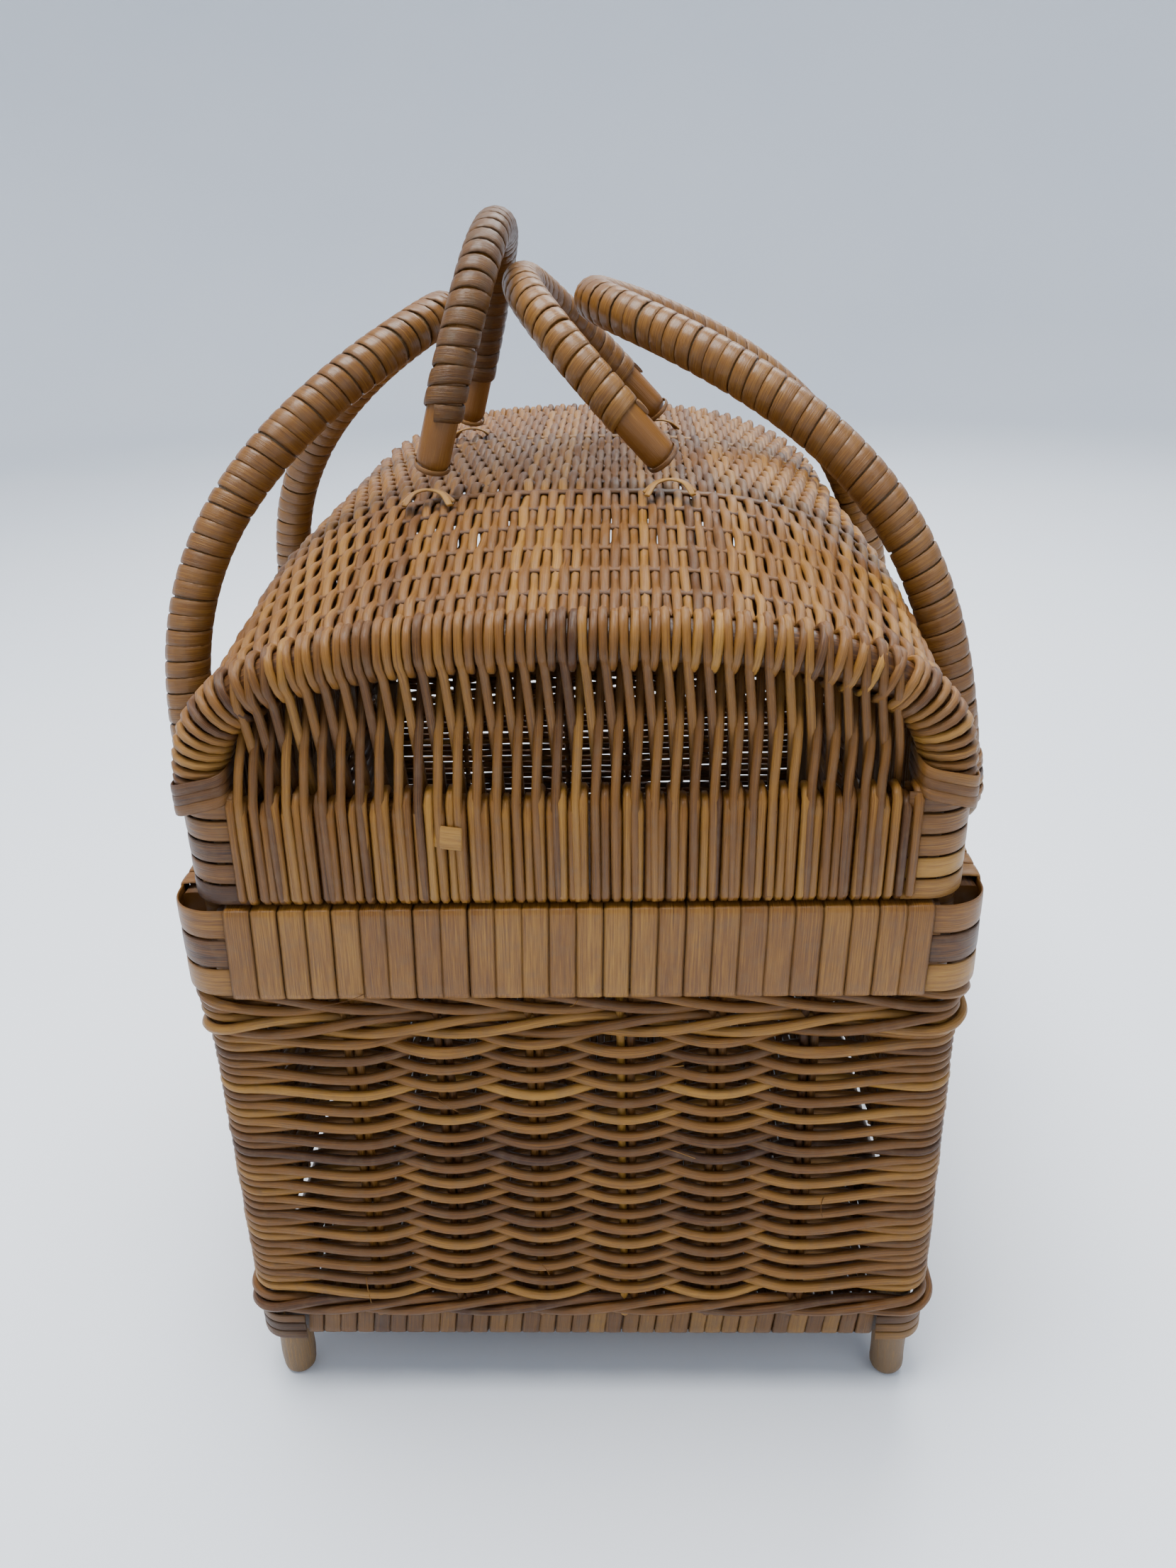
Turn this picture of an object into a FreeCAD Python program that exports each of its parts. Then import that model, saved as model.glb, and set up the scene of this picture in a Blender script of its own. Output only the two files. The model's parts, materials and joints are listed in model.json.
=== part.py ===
import FreeCAD, Part
import math
import os
import Sketcher
from FreeCAD import Placement, Rotation, Vector

# Woven wicker basket with a domed, hinged lid and four swinging bail handles.
# Millimetres. Origin at the centre of the base on the ground, +Z up, +X across the
# basket's width, and +Y along its length, away from the near end.

doc = FreeCAD.newDocument("wicker_basket")
sheet = doc.addObject("Spreadsheet::Sheet", "dims")

DIMENSIONS = (
    # Body
    ("body_half_width", 132),
    ("body_half_length", 162),
    ("corner_x", 117),
    ("corner_y", 147),
    ("post_radius", 6.5),
    ("rail_radius", 7),
    ("rail_z", 31),
    ("rail_inset", 10),
    ("rail_half_height", 6),
    ("base_bottom", 28),
    ("base_thickness", 6),
    ("base_corner_cut", 6),
    ("wall_bottom", 38.2),
    ("wall_top", 186),
    ("wall_inset", 3),
    ("wall_thickness", 5),
    ("stake_radius", 1.5),
    ("stake_pitch", 31),
    ("stake_pair_gap", 3.6),
    ("wale_proud", 2.2),
    ("lower_wale_height", 12),
    ("upper_wale_height", 19),
    ("rim_top", 219),
    ("rim_thickness", 10),
    # Outer handles, tied to the long sides of the rim
    ("outer_pivot_x", 141),
    ("outer_pivot_z", 211),
    ("outer_half_span", 83),
    ("outer_pole_radius", 6.8),
    ("outer_wrap_radius", 8),
    ("outer_lashing_radius", 8.7),
    ("outer_lashing_bottom", 10),
    ("outer_lashing_top", 26),
    ("outer_reach_left", 98),
    ("outer_rise_left", 170),
    ("outer_lean_left", -3),
    ("outer_reach_right", 111),
    ("outer_rise_right", 194),
    ("outer_lean_right", 7),
    ("strap_offset", 13),
    ("strap_width", 5.5),
    ("strap_thickness", 1),
    # Hinge between the rim and the lid, along the left side
    ("hinge_x", -126.5),
    ("hinge_z", 219.5),
    ("hinge_tie_radius", 0.8),
    ("hinge_tie_length", 12),
    ("hinge_tie_pitch", 62),
    # Lid
    ("lid_half_width", 124.5),
    ("lid_half_length", 161),
    ("lid_corner_x", 110.5),
    ("lid_bottom", 220),
    ("lid_band_top", 258),
    ("lid_band_thickness", 9),
    ("hoop_radius", 9.5),
    ("hoop_half_width", 115),
    ("hoop_y", 151.5),
    ("near_hoop_top", 304),
    ("far_hoop_top", 322),
    ("weave_half_width", 121),
    ("weave_half_length", 142),
    ("weave_thickness", 4),
    ("weave_near_top", 311),
    ("weave_crest", 332),
    ("weave_far_top", 329),
    ("groove_y", 60),
    ("inner_hoop_radius", 4),
    ("panel_thickness", 3),
    # Lid handles, standing on the woven top
    ("lid_handle_half_span", 61),
    ("lid_pole_radius", 6),
    ("lid_wrap_radius", 7.3),
    ("lid_wrap_start", 16),
    ("lid_tie_radius", 6.9),
    ("lid_left_x", -51),
    ("lid_left_z", 336.5),
    ("lid_left_reach", 22),
    ("lid_left_rise", 79),
    ("lid_right_x", 33),
    ("lid_right_z", 338.5),
    ("lid_right_reach", -53),
    ("lid_right_rise", 58),
)

for row, (alias, value) in enumerate(DIMENSIONS, start=1):
    sheet.set(f"A{row}", alias)
    sheet.set(f"B{row}", str(value))
    sheet.setAlias(f"B{row}", alias)
doc.recompute()

ARCH_POWER = 2.8        # roundness of the hoops' shoulders: 2 is an ellipse
HANDLE_POWER = 2.4      # roundness of the handles' shoulders
BEND_POWER = 3.5        # how late a long handle bends inwards over the lid
GAP = 0.3               # clearance between pieces that would otherwise touch
ARCH_POINTS = 17
SIDES = (("left", -1), ("right", 1))
ENDS = (("front", -1), ("back", 1))

nodes = []


def size(alias):
    """Return a driving dimension from the sheet."""
    return float(sheet.get(alias))


def bind(obj, **expressions):
    """Bind properties to expressions; an underscore pair stands for a dot in the name."""
    for name, expression in expressions.items():
        obj.setExpression(name.replace("__", "."), expression)


def node(obj, label):
    """Name an object as one of the basket's pieces."""
    obj.Label = label
    nodes.append(obj)
    return obj


def box(name, lengths, corner):
    """A box whose three lengths and low corner are expressions on the sheet."""
    obj = doc.addObject("Part::Box", name)
    bind(obj, Length=lengths[0], Width=lengths[1], Height=lengths[2])
    bind(obj, Placement__Base__x=corner[0], Placement__Base__y=corner[1], Placement__Base__z=corner[2])
    return obj


def cylinder(name, radius, height, base, turn=None):
    """A cylinder bound to the sheet, turned from +Z by the given rotation."""
    obj = doc.addObject("Part::Cylinder", name)
    if turn is not None:
        obj.Placement = Placement(Vector(), turn)
    bind(obj, Radius=radius, Height=height)
    bind(obj, Placement__Base__x=base[0], Placement__Base__y=base[1], Placement__Base__z=base[2])
    return obj


def cut(name, base, tool):
    """The first object less the second."""
    obj = doc.addObject("Part::Cut", name)
    obj.Base = base
    obj.Tool = tool
    return obj


def group(name, parts):
    """Like pieces that share one node as separate solids."""
    obj = doc.addObject("Part::Compound", name)
    obj.Links = parts
    return obj


def quarter_ring(name, centre_x, centre_y, outer, inner, bottom, height, sign_x, sign_y):
    """A quarter of a ring that rounds one corner of the basket."""
    start = {(1, 1): 0, (-1, 1): 90, (-1, -1): 180, (1, -1): 270}[(sign_x, sign_y)]
    turn = Rotation(Vector(0, 0, 1), start)
    place = (f"{sign_x} * ({centre_x})", f"{sign_y} * ({centre_y})", bottom)
    disc = cylinder(name + "_disc", outer, height, place, turn)
    disc.Angle = 90
    core = cylinder(name + "_core", inner, height, place)
    return cut(name, disc, core)


def feature(label, shape):
    """A piece whose shape is computed from the sheet."""
    obj = doc.addObject("Part::Feature", label)
    obj.Shape = shape
    obj.Placement = Placement()
    return node(obj, label)


def superellipse(power):
    """Unit points (across, up) of half a superellipse, from -1 to +1 across."""
    points = []
    for step in range(ARCH_POINTS):
        angle = math.pi * (1 - step / (ARCH_POINTS - 1))
        across = math.copysign(abs(math.cos(angle)) ** (2 / power), math.cos(angle))
        points.append((across, abs(math.sin(angle)) ** (2 / power)))
    points[0] = (-1, 0)
    points[-1] = (1, 0)
    return points


def smooth_edge(points):
    """One smooth curve through the points."""
    curve = Part.BSplineCurve()
    curve.interpolate(points)
    return curve.toShape()


def rod(points, radius):
    """A round rod along a smooth curve."""
    spine = Part.Wire(smooth_edge(points))
    direction = spine.Edges[0].tangentAt(spine.Edges[0].FirstParameter)
    profile = Part.Wire(Part.makeCircle(radius, points[0], direction))
    return spine.makePipeShell([profile], True, True)


# ---------------------------------------------------------------- body

def corner_posts():
    """Four round posts whose lower ends are the feet."""
    for end, sign_y in ENDS:
        for side, sign_x in SIDES:
            label = f"post_{end}_{side}"
            base = (f"{sign_x} * dims.corner_x", f"{sign_y} * dims.corner_y", "0")
            node(cylinder(label, "dims.post_radius", "dims.wall_top - 0.2", base), label)


def bottom_rails():
    """Four rods between the posts, with cane strips round the corners."""
    clear = "(dims.corner_x - dims.post_radius - 0.2)"
    across = Rotation(Vector(0, 1, 0), 90)
    for end, sign_y in ENDS:
        label = f"rail_{end}"
        base = (f"-{clear}", f"{sign_y} * (dims.body_half_length - dims.rail_inset)", "dims.rail_z")
        node(cylinder(label, "dims.rail_radius", f"2 * {clear}", base, across), label)
    clear = "(dims.corner_y - dims.post_radius - 0.2)"
    along = Rotation(Vector(1, 0, 0), -90)
    for side, sign_x in SIDES:
        label = f"rail_{side}"
        base = (f"{sign_x} * (dims.body_half_width - dims.rail_inset)", f"-{clear}", "dims.rail_z")
        node(cylinder(label, "dims.rail_radius", f"2 * {clear}", base, along), label)
    strips = []
    for end, sign_y in ENDS:
        for side, sign_x in SIDES:
            strips.append(quarter_ring(
                f"rail_strip_{end}_{side}", "dims.corner_x", "dims.corner_y",
                "dims.body_half_width - dims.wall_inset - dims.corner_x", "dims.post_radius + 0.3",
                "dims.rail_z - dims.rail_half_height", "2 * dims.rail_half_height", sign_x, sign_y))
    node(group("rail_corner_strips", strips), "rail_corner_strips")


def base_panel():
    """The woven floor: a rectangle padded upwards, its corners cut off beside the posts."""
    body = doc.addObject("PartDesign::Body", "base_panel")
    sketch = body.newObject("Sketcher::SketchObject", "base_outline")
    plane = [f for f in body.Origin.OriginFeatures if f.Role == "XY_Plane"][0]
    sketch.AttachmentSupport = [(plane, "")]
    sketch.MapMode = "FlatFace"
    sketch.setExpression("AttachmentOffset.Base.z", "dims.base_bottom")
    x = size("body_half_width") - size("rail_inset") - size("rail_radius")
    y = size("body_half_length") - size("rail_inset") - size("rail_radius")
    corners = [Vector(-x, -y, 0), Vector(x, -y, 0), Vector(x, y, 0), Vector(-x, y, 0)]
    for index in range(4):
        sketch.addGeometry(Part.LineSegment(corners[index], corners[(index + 1) % 4]))
    for index in range(4):
        sketch.addConstraint(Sketcher.Constraint("Coincident", index, 2, (index + 1) % 4, 1))
    for index in (0, 2):
        sketch.addConstraint(Sketcher.Constraint("Horizontal", index))
        sketch.addConstraint(Sketcher.Constraint("Vertical", index + 1))
    sketch.addConstraint(Sketcher.Constraint("Symmetric", 0, 1, 2, 1, -1, 1))
    width = sketch.addConstraint(Sketcher.Constraint("DistanceX", 0, 1, 0, 2, 2 * x))
    length = sketch.addConstraint(Sketcher.Constraint("DistanceY", 1, 1, 1, 2, 2 * y))
    sketch.setExpression(f"Constraints[{width}]", "2 * (dims.body_half_width - dims.rail_inset - dims.rail_radius)")
    sketch.setExpression(f"Constraints[{length}]", "2 * (dims.body_half_length - dims.rail_inset - dims.rail_radius)")
    pad = body.newObject("PartDesign::Pad", "base_pad")
    pad.Profile = sketch
    pad.setExpression("Length", "dims.base_thickness")
    doc.recompute()
    height = size("base_thickness")
    upright = [f"Edge{i + 1}" for i, edge in enumerate(pad.Shape.Edges) if abs(edge.BoundBox.ZLength - height) < 0.01]
    corners = body.newObject("PartDesign::Chamfer", "base_corners")
    corners.Base = (pad, upright)
    corners.setExpression("Size", "dims.base_corner_cut")
    node(body, "base_panel")


def stake_places(half_length, pitch, gap):
    """Places of paired rods along one wall, from its middle outwards."""
    count = int(half_length // pitch)
    middles = [pitch * (index + 0.5) for index in range(-count, count)]
    return [middle + side * gap / 2 for middle in middles for side in (-1, 1)]


def walls():
    """Four woven walls, each with its stakes in holes through the weave."""
    height = "dims.wall_top - dims.wall_bottom"
    middle = "(dims.wall_inset + dims.wall_thickness / 2)"
    for axis, sets in (("x", ENDS), ("y", SIDES)):
        run = "corner_x" if axis == "x" else "corner_y"
        depth = "dims.body_half_length" if axis == "x" else "dims.body_half_width"
        for name, sign in sets:
            inner = f"({depth} - dims.wall_inset - dims.wall_thickness)"
            low = inner if sign > 0 else f"-({depth} - dims.wall_inset)"
            if axis == "x":
                lengths = ("2 * dims.corner_x", "dims.wall_thickness", height)
                corner = ("-dims.corner_x", low, "dims.wall_bottom")
            else:
                lengths = ("dims.wall_thickness", "2 * dims.corner_y", height)
                corner = (low, "-dims.corner_y", "dims.wall_bottom")
            weave = box(f"weave_{name}", lengths, corner)
            stakes = []
            places = stake_places(size(run), size("stake_pitch"), size("stake_pair_gap"))
            for index, place in enumerate(places):
                face = f"{sign} * ({depth} - {middle})"
                base = (f"{place}", face) if axis == "x" else (face, f"{place}")
                stakes.append(cylinder(
                    f"stake_{name}_{index}", "dims.stake_radius", height, base + ("dims.wall_bottom",)))
            rods = node(group(f"stakes_{name}", stakes), f"stakes_{name}")
            node(cut(f"wall_{name}", weave, rods), f"wall_{name}")
    for end, sign_y in ENDS:
        for side, sign_x in SIDES:
            label = f"corner_weave_{end}_{side}"
            node(quarter_ring(
                label, "dims.corner_x", "dims.corner_y",
                "dims.body_half_width - dims.wall_inset - dims.corner_x", "dims.post_radius + 0.3",
                "dims.wall_bottom", height, sign_x, sign_y), label)


def rounded_block(name, grow, bottom, height):
    """A block with rounded upright edges, standing proud of the walls by grow."""
    half_x = f"(dims.body_half_width - dims.wall_inset + {grow})"
    half_y = f"(dims.body_half_length - dims.wall_inset + {grow})"
    block = box(name + "_block", (f"2 * {half_x}", f"2 * {half_y}", height), (f"-{half_x}", f"-{half_y}", bottom))
    doc.recompute()
    radius = block.Length.Value / 2 - size("corner_x")
    rounded = doc.addObject("Part::Fillet", name)
    rounded.Base = block
    rounded.Edges = [(edge, radius, radius) for edge in (1, 3, 5, 7)]
    return rounded


def wales():
    """The twisted borders under and over the plain weave."""
    for label, bottom, height in (
        ("lower_wale", "dims.wall_bottom", "dims.lower_wale_height"),
        ("upper_wale", "dims.wall_top - dims.upper_wale_height", "dims.upper_wale_height - 0.2"),
    ):
        outer = rounded_block(label + "_outer", "dims.wale_proud", bottom, height)
        inner = rounded_block(label + "_inner", "0.05", bottom, height)
        node(cut(label, outer, inner), label)


def band(prefix, half_x, half_y, centre_x, centre_y, thickness, bottom, height):
    """Four straight bars and four rounded corners: the rim's band or the lid's band."""
    for end, sign_y in ENDS:
        low = f"({half_y} - {thickness})" if sign_y > 0 else f"-({half_y})"
        label = f"{prefix}_{end}"
        node(box(label, (f"2 * {centre_x}", thickness, height), (f"-{centre_x}", low, bottom)), label)
    for side, sign_x in SIDES:
        low = f"({half_x} - {thickness})" if sign_x > 0 else f"-({half_x})"
        label = f"{prefix}_{side}"
        node(box(label, (thickness, f"2 * {centre_y}", height), (low, f"-{centre_y}", bottom)), label)
    corners = []
    for end, sign_y in ENDS:
        for side, sign_x in SIDES:
            outer = f"{half_x} - {centre_x}"
            corners.append(quarter_ring(
                f"{prefix}_corner_{end}_{side}", centre_x, centre_y, outer,
                f"{outer} - {thickness}", bottom, height, sign_x, sign_y))
    node(group(f"{prefix}_corner_strips", corners), f"{prefix}_corner_strips")


def rim_straps():
    """Cane straps round the rim, one on each side of every outer handle's foot."""
    inner_x = "(dims.body_half_width - dims.rim_thickness)"
    for side, sign_x in SIDES:
        straps = []
        for foot in (-1, 1):
            for beside in (-1, 1):
                name = f"strap_{side}_{'near' if foot < 0 else 'far'}_{'a' if beside < 0 else 'b'}"
                y = f"({foot} * dims.outer_half_span + {beside} * dims.strap_offset - dims.strap_width / 2)"
                low = inner_x if sign_x > 0 else "-dims.body_half_width"
                hole = box(name + "_hole",
                           ("dims.rim_thickness", "dims.strap_width", "dims.rim_top - dims.wall_top"),
                           (low, y, "dims.wall_top"))
                outer = box(name + "_outer",
                            ("dims.rim_thickness + 2 * dims.strap_thickness", "dims.strap_width",
                             "dims.rim_top - dims.wall_top"),
                            (f"{low} - dims.strap_thickness", y, "dims.wall_top"))
                straps.append(cut(name, outer, hole))
        node(group(f"handle_straps_{side}", straps), f"handle_straps_{side}")


def hinge_ties():
    """Twists of cane along the hinge line, where the lid is tied to the rim."""
    along = Rotation(Vector(1, 0, 0), -90)
    ties = []
    for index in (-1, 0, 1):
        y = f"{index} * dims.hinge_tie_pitch - dims.hinge_tie_length / 2"
        base = ("dims.hinge_x - dims.hinge_tie_radius - 0.5", y, "dims.rim_top + dims.hinge_tie_radius")
        ties.append(cylinder(f"hinge_tie_{index + 1}", "dims.hinge_tie_radius", "dims.hinge_tie_length", base, along))
    node(group("hinge_ties", ties), "hinge_ties")


# ---------------------------------------------------------------- lid

def arch_points(half_width, bottom, top, y):
    """Points of an arch across the lid at one place along it."""
    return [Vector(across * half_width, y, bottom + up * (top - bottom)) for across, up in superellipse(ARCH_POWER)]


def arch_face_wire(half_width, bottom, top, y):
    """The closed outline under an arch."""
    points = arch_points(half_width, bottom, top, y)
    return Part.Wire([smooth_edge(points), Part.makeLine(points[-1], points[0])])


def lid_frame():
    """The end hoops, the two inner hoops and the lashed end panels."""
    bottom = size("lid_band_top") + GAP
    far = 400
    below = Part.makeBox(2 * far, 2 * far, far, Vector(-far, -far, bottom - far))
    for label, sign_y, top in (("near_hoop", -1, "near_hoop_top"), ("far_hoop", 1, "far_hoop_top")):
        y = sign_y * size("hoop_y")
        points = arch_points(size("hoop_half_width"), bottom, size(top), y)
        feature(label, rod(points, size("hoop_radius")).cut(below))
        panel_top = size(top) - size("hoop_radius") - GAP
        half_width = size("hoop_half_width") - size("hoop_radius") - GAP
        wire = arch_face_wire(half_width, bottom, panel_top, y - size("panel_thickness") / 2)
        panel = Part.Face(wire).extrude(Vector(0, size("panel_thickness"), 0))
        feature(label.replace("hoop", "lashing"), panel.cut(rod(points, size("hoop_radius") + GAP)))
    radius = size("inner_hoop_radius")
    half_width = size("weave_half_width") - size("weave_thickness") - radius - GAP
    top = size("weave_crest") - size("weave_thickness") - radius - GAP
    for label, sign_y in (("inner_hoop_near", -1), ("inner_hoop_far", 1)):
        feature(label, rod(arch_points(half_width, bottom, top, sign_y * size("groove_y")), radius))


def lid_weave():
    """The domed woven top: an arched shell from hoop to hoop."""
    bottom = size("lid_band_top") + GAP
    stations = (
        (-size("weave_half_length"), size("weave_near_top")),
        (-size("groove_y"), size("weave_crest")),
        (size("groove_y"), size("weave_crest")),
        (size("weave_half_length"), size("weave_far_top")),
    )
    half_width = size("weave_half_width")
    thickness = size("weave_thickness")
    outer = [arch_face_wire(half_width, bottom, top, y) for y, top in stations]
    inner = []
    for y, top in stations:
        past = math.copysign(1, y) if abs(y) == size("weave_half_length") else 0
        inner.append(arch_face_wire(half_width - thickness, bottom - 1, top - thickness, y + past))
    shell = Part.makeLoft(outer, True, True).cut(Part.makeLoft(inner, True, True))
    feature("lid_weave", shell)


# ---------------------------------------------------------------- handles

def lean(vector, pivot, degrees):
    """Turn a point about a pivot line along Y; positive leans +X over towards -X."""
    angle = math.radians(degrees)
    dx = vector.x - pivot.x
    dz = vector.z - pivot.z
    x = pivot.x + dx * math.cos(angle) - dz * math.sin(angle)
    z = pivot.z + dx * math.sin(angle) + dz * math.cos(angle)
    return Vector(x, vector.y, z)


def handle_points(pivot, half_span, reach, rise, bend, degrees):
    """Centre line of a bail handle from foot to foot, over the lid by reach."""
    points = []
    for across, up in superellipse(HANDLE_POWER):
        point = Vector(pivot.x + reach * up ** bend, across * half_span, pivot.z + rise * up)
        points.append(lean(point, pivot, degrees))
    return points


def capped_rod(points, radius):
    """A rod with rounded ends."""
    shape = rod(points, radius)
    for end in (points[0], points[-1]):
        shape = shape.fuse(Part.makeSphere(radius, end))
    return shape


def sleeve(points, outer, inner, low, high):
    """A tube round the rod, kept where its height above the feet lies between two levels."""
    foot = points[0]
    lowest = min(point.z for point in points)
    far = 400
    tube = rod(points, outer).cut(capped_rod(points, inner))
    slab = Part.makeBox(2 * far, 2 * far, high - low, Vector(foot.x - far, -far, lowest + low))
    return tube.common(slab)


def outer_handles():
    """The two long handles that stand beside the lid and bend over it."""
    far = 400
    for side, sign_x in SIDES:
        pivot = Vector(sign_x * size("outer_pivot_x"), 0, size("outer_pivot_z"))
        points = handle_points(
            pivot, size("outer_half_span"), -sign_x * size(f"outer_reach_{side}"),
            size(f"outer_rise_{side}"), BEND_POWER, sign_x * size(f"outer_lean_{side}"))
        pole = size("outer_pole_radius")
        wrap = size("outer_wrap_radius")
        feature(f"outer_handle_{side}", capped_rod(points, pole))
        top = size("outer_lashing_top")
        feature(f"outer_wrap_{side}", sleeve(points, wrap, pole, top, far))
        low = size("outer_lashing_bottom")
        feature(f"outer_lashing_{side}", sleeve(points, size("outer_lashing_radius"), pole, low, top))


def lid_handles():
    """The two handles that stand on the lid and lean against each other."""
    far = 400
    for side, _ in SIDES:
        pivot = Vector(size(f"lid_{side}_x"), 0, size(f"lid_{side}_z"))
        points = handle_points(
            pivot, size("lid_handle_half_span"), size(f"lid_{side}_reach"), size(f"lid_{side}_rise"), 1, 0)
        pole = size("lid_pole_radius")
        feature(f"lid_handle_{side}", capped_rod(points, pole))
        start = size("lid_wrap_start")
        feature(f"lid_handle_wrap_{side}", sleeve(points, size("lid_wrap_radius"), pole, start, far))
        feature(f"lid_handle_ties_{side}", sleeve(points, size("lid_tie_radius"), pole, 4, 8))


corner_posts()
bottom_rails()
base_panel()
walls()
wales()
band("rim", "dims.body_half_width", "dims.body_half_length", "dims.corner_x", "dims.corner_y",
     "dims.rim_thickness", "dims.wall_top", "(dims.rim_top - dims.wall_top)")
rim_straps()
hinge_ties()
band("lid_band", "dims.lid_half_width", "dims.lid_half_length", "dims.lid_corner_x", "dims.corner_y",
     "dims.lid_band_thickness", "dims.lid_bottom", "(dims.lid_band_top - dims.lid_bottom)")
lid_frame()
lid_weave()
outer_handles()
lid_handles()
doc.recompute()

for obj in doc.Objects:
    if "Invalid" in obj.State or "Error" in obj.State:
        raise RuntimeError(f"{obj.Label} did not compute: {obj.State}")
for obj in nodes:
    if obj.Shape.isNull() or not obj.Shape.isValid() or not obj.Shape.Solids:
        raise RuntimeError(f"{obj.Label} has no valid solid")

os.makedirs("parts", exist_ok=True)
for obj in nodes:
    obj.Shape.exportStep(f"parts/{obj.Label}.step")
print(f"{len(nodes)} nodes written")
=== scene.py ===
import json
import math

import bpy
import numpy as np
from bpy.props import FloatProperty, FloatVectorProperty, IntProperty, PointerProperty
from mathutils import Matrix, Vector


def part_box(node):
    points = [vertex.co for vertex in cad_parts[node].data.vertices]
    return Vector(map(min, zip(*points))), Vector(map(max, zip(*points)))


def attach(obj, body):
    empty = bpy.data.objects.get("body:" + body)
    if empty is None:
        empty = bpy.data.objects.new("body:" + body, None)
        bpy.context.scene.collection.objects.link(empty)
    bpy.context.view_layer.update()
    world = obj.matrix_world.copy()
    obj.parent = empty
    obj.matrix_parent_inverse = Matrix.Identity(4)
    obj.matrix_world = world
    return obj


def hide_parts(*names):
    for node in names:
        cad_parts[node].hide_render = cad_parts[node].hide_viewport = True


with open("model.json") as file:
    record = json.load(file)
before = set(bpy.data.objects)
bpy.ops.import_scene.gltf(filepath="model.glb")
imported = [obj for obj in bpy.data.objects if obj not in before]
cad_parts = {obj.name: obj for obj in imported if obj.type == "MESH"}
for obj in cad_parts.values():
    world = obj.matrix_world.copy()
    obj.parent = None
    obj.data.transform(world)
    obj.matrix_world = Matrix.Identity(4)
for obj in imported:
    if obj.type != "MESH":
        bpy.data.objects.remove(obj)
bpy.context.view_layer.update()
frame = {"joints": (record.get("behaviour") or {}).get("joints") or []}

bl_info = {
    "name": "Wicker basket",
    "version": (1, 0, 0),
    "blender": (4, 5, 0),
    "location": "View3D > Sidebar > Basket",
    "description": "Builds the reeds, cane and poles of a woven basket with a domed lid",
    "category": "Add Mesh",
}

MM = 0.001
UP = np.array([0.0, 0.0, 1.0])
ACROSS = np.array([1.0, 0.0, 0.0])
ALONG = np.array([0.0, 1.0, 0.0])
SIDES = (("left", -1), ("right", 1))
ENDS = (("front", -1), ("back", 1))
JOINTS = {joint["name"]: joint for joint in frame["joints"]}


# ---------------------------------------------------------------- places from the frame

def span(node, axis):
    """Lowest and highest coordinate of a frame node along one axis, in metres."""
    low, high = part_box(node)
    return low[axis], high[axis]


def half_size(node, axis):
    """Half of a frame node's size along one axis."""
    low, high = span(node, axis)
    return (high - low) / 2


POST_X = sum(span("post_front_right", 0)) / 2
POST_Y = sum(span("post_back_right", 1)) / 2
WALL_X = span("wall_right", 0)[1]
WALL_Y = span("wall_back", 1)[1]
WALL_BOTTOM = span("wall_front", 2)[0]
RIM_BOTTOM, RIM_TOP = span("rim_front", 2)
RIM_X = span("rim_right", 0)[1]
RIM_Y = span("rim_back", 1)[1]
RIM_INNER = span("rim_right", 0)[0]
LID_X = span("lid_band_right", 0)[1]
LID_Y = span("lid_band_back", 1)[1]
LID_BOTTOM, LID_TOP = span("lid_band_front", 2)
LID_THICK = LID_X - span("lid_band_right", 0)[0]
LID_CORNER_X = span("lid_band_front", 0)[1]
HOOP_Y = sum(span("far_hoop", 1)) / 2
HOOP_RADIUS = half_size("far_hoop", 1)
HOOP_HALF = span("far_hoop", 0)[1] - HOOP_RADIUS
HOOP_TOPS = {end: span(f"{end}_hoop", 2)[1] - HOOP_RADIUS for end in ("near", "far")}
CREST = span("lid_weave", 2)[1]
WEAVE_HALF = span("lid_weave", 0)[1]
WEAVE_END = span("lid_weave", 1)[1]
ARCH_POWER = 2.8
HANDLE_POWER = 2.4
HOOP_CORE = 6.6 * MM
HOOP_SHOULDER = 101 * MM
OUTER_FOOT = 83 * MM
LID_FOOT = 61 * MM
CREASE = 60 * MM
WEAVE_INSET = 2.5 * MM


def four_sides(outer_x, outer_y, run_x=POST_X):
    """Name, axis along, outward sign, half length and outer face of each side of a rectangle."""
    return (("front", 0, -1, run_x, outer_y), ("back", 0, 1, run_x, outer_y),
            ("left", 1, -1, POST_Y, outer_x), ("right", 1, 1, POST_Y, outer_x))


def by_turns(count):
    """Minus one and one by turns."""
    return np.where(np.arange(count) % 2, 1.0, -1.0)


def spaced(count, pitch):
    """Places one pitch apart, centred on zero."""
    return (np.arange(count) - (count - 1) / 2) * pitch


# ---------------------------------------------------------------- sizes and colours

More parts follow.
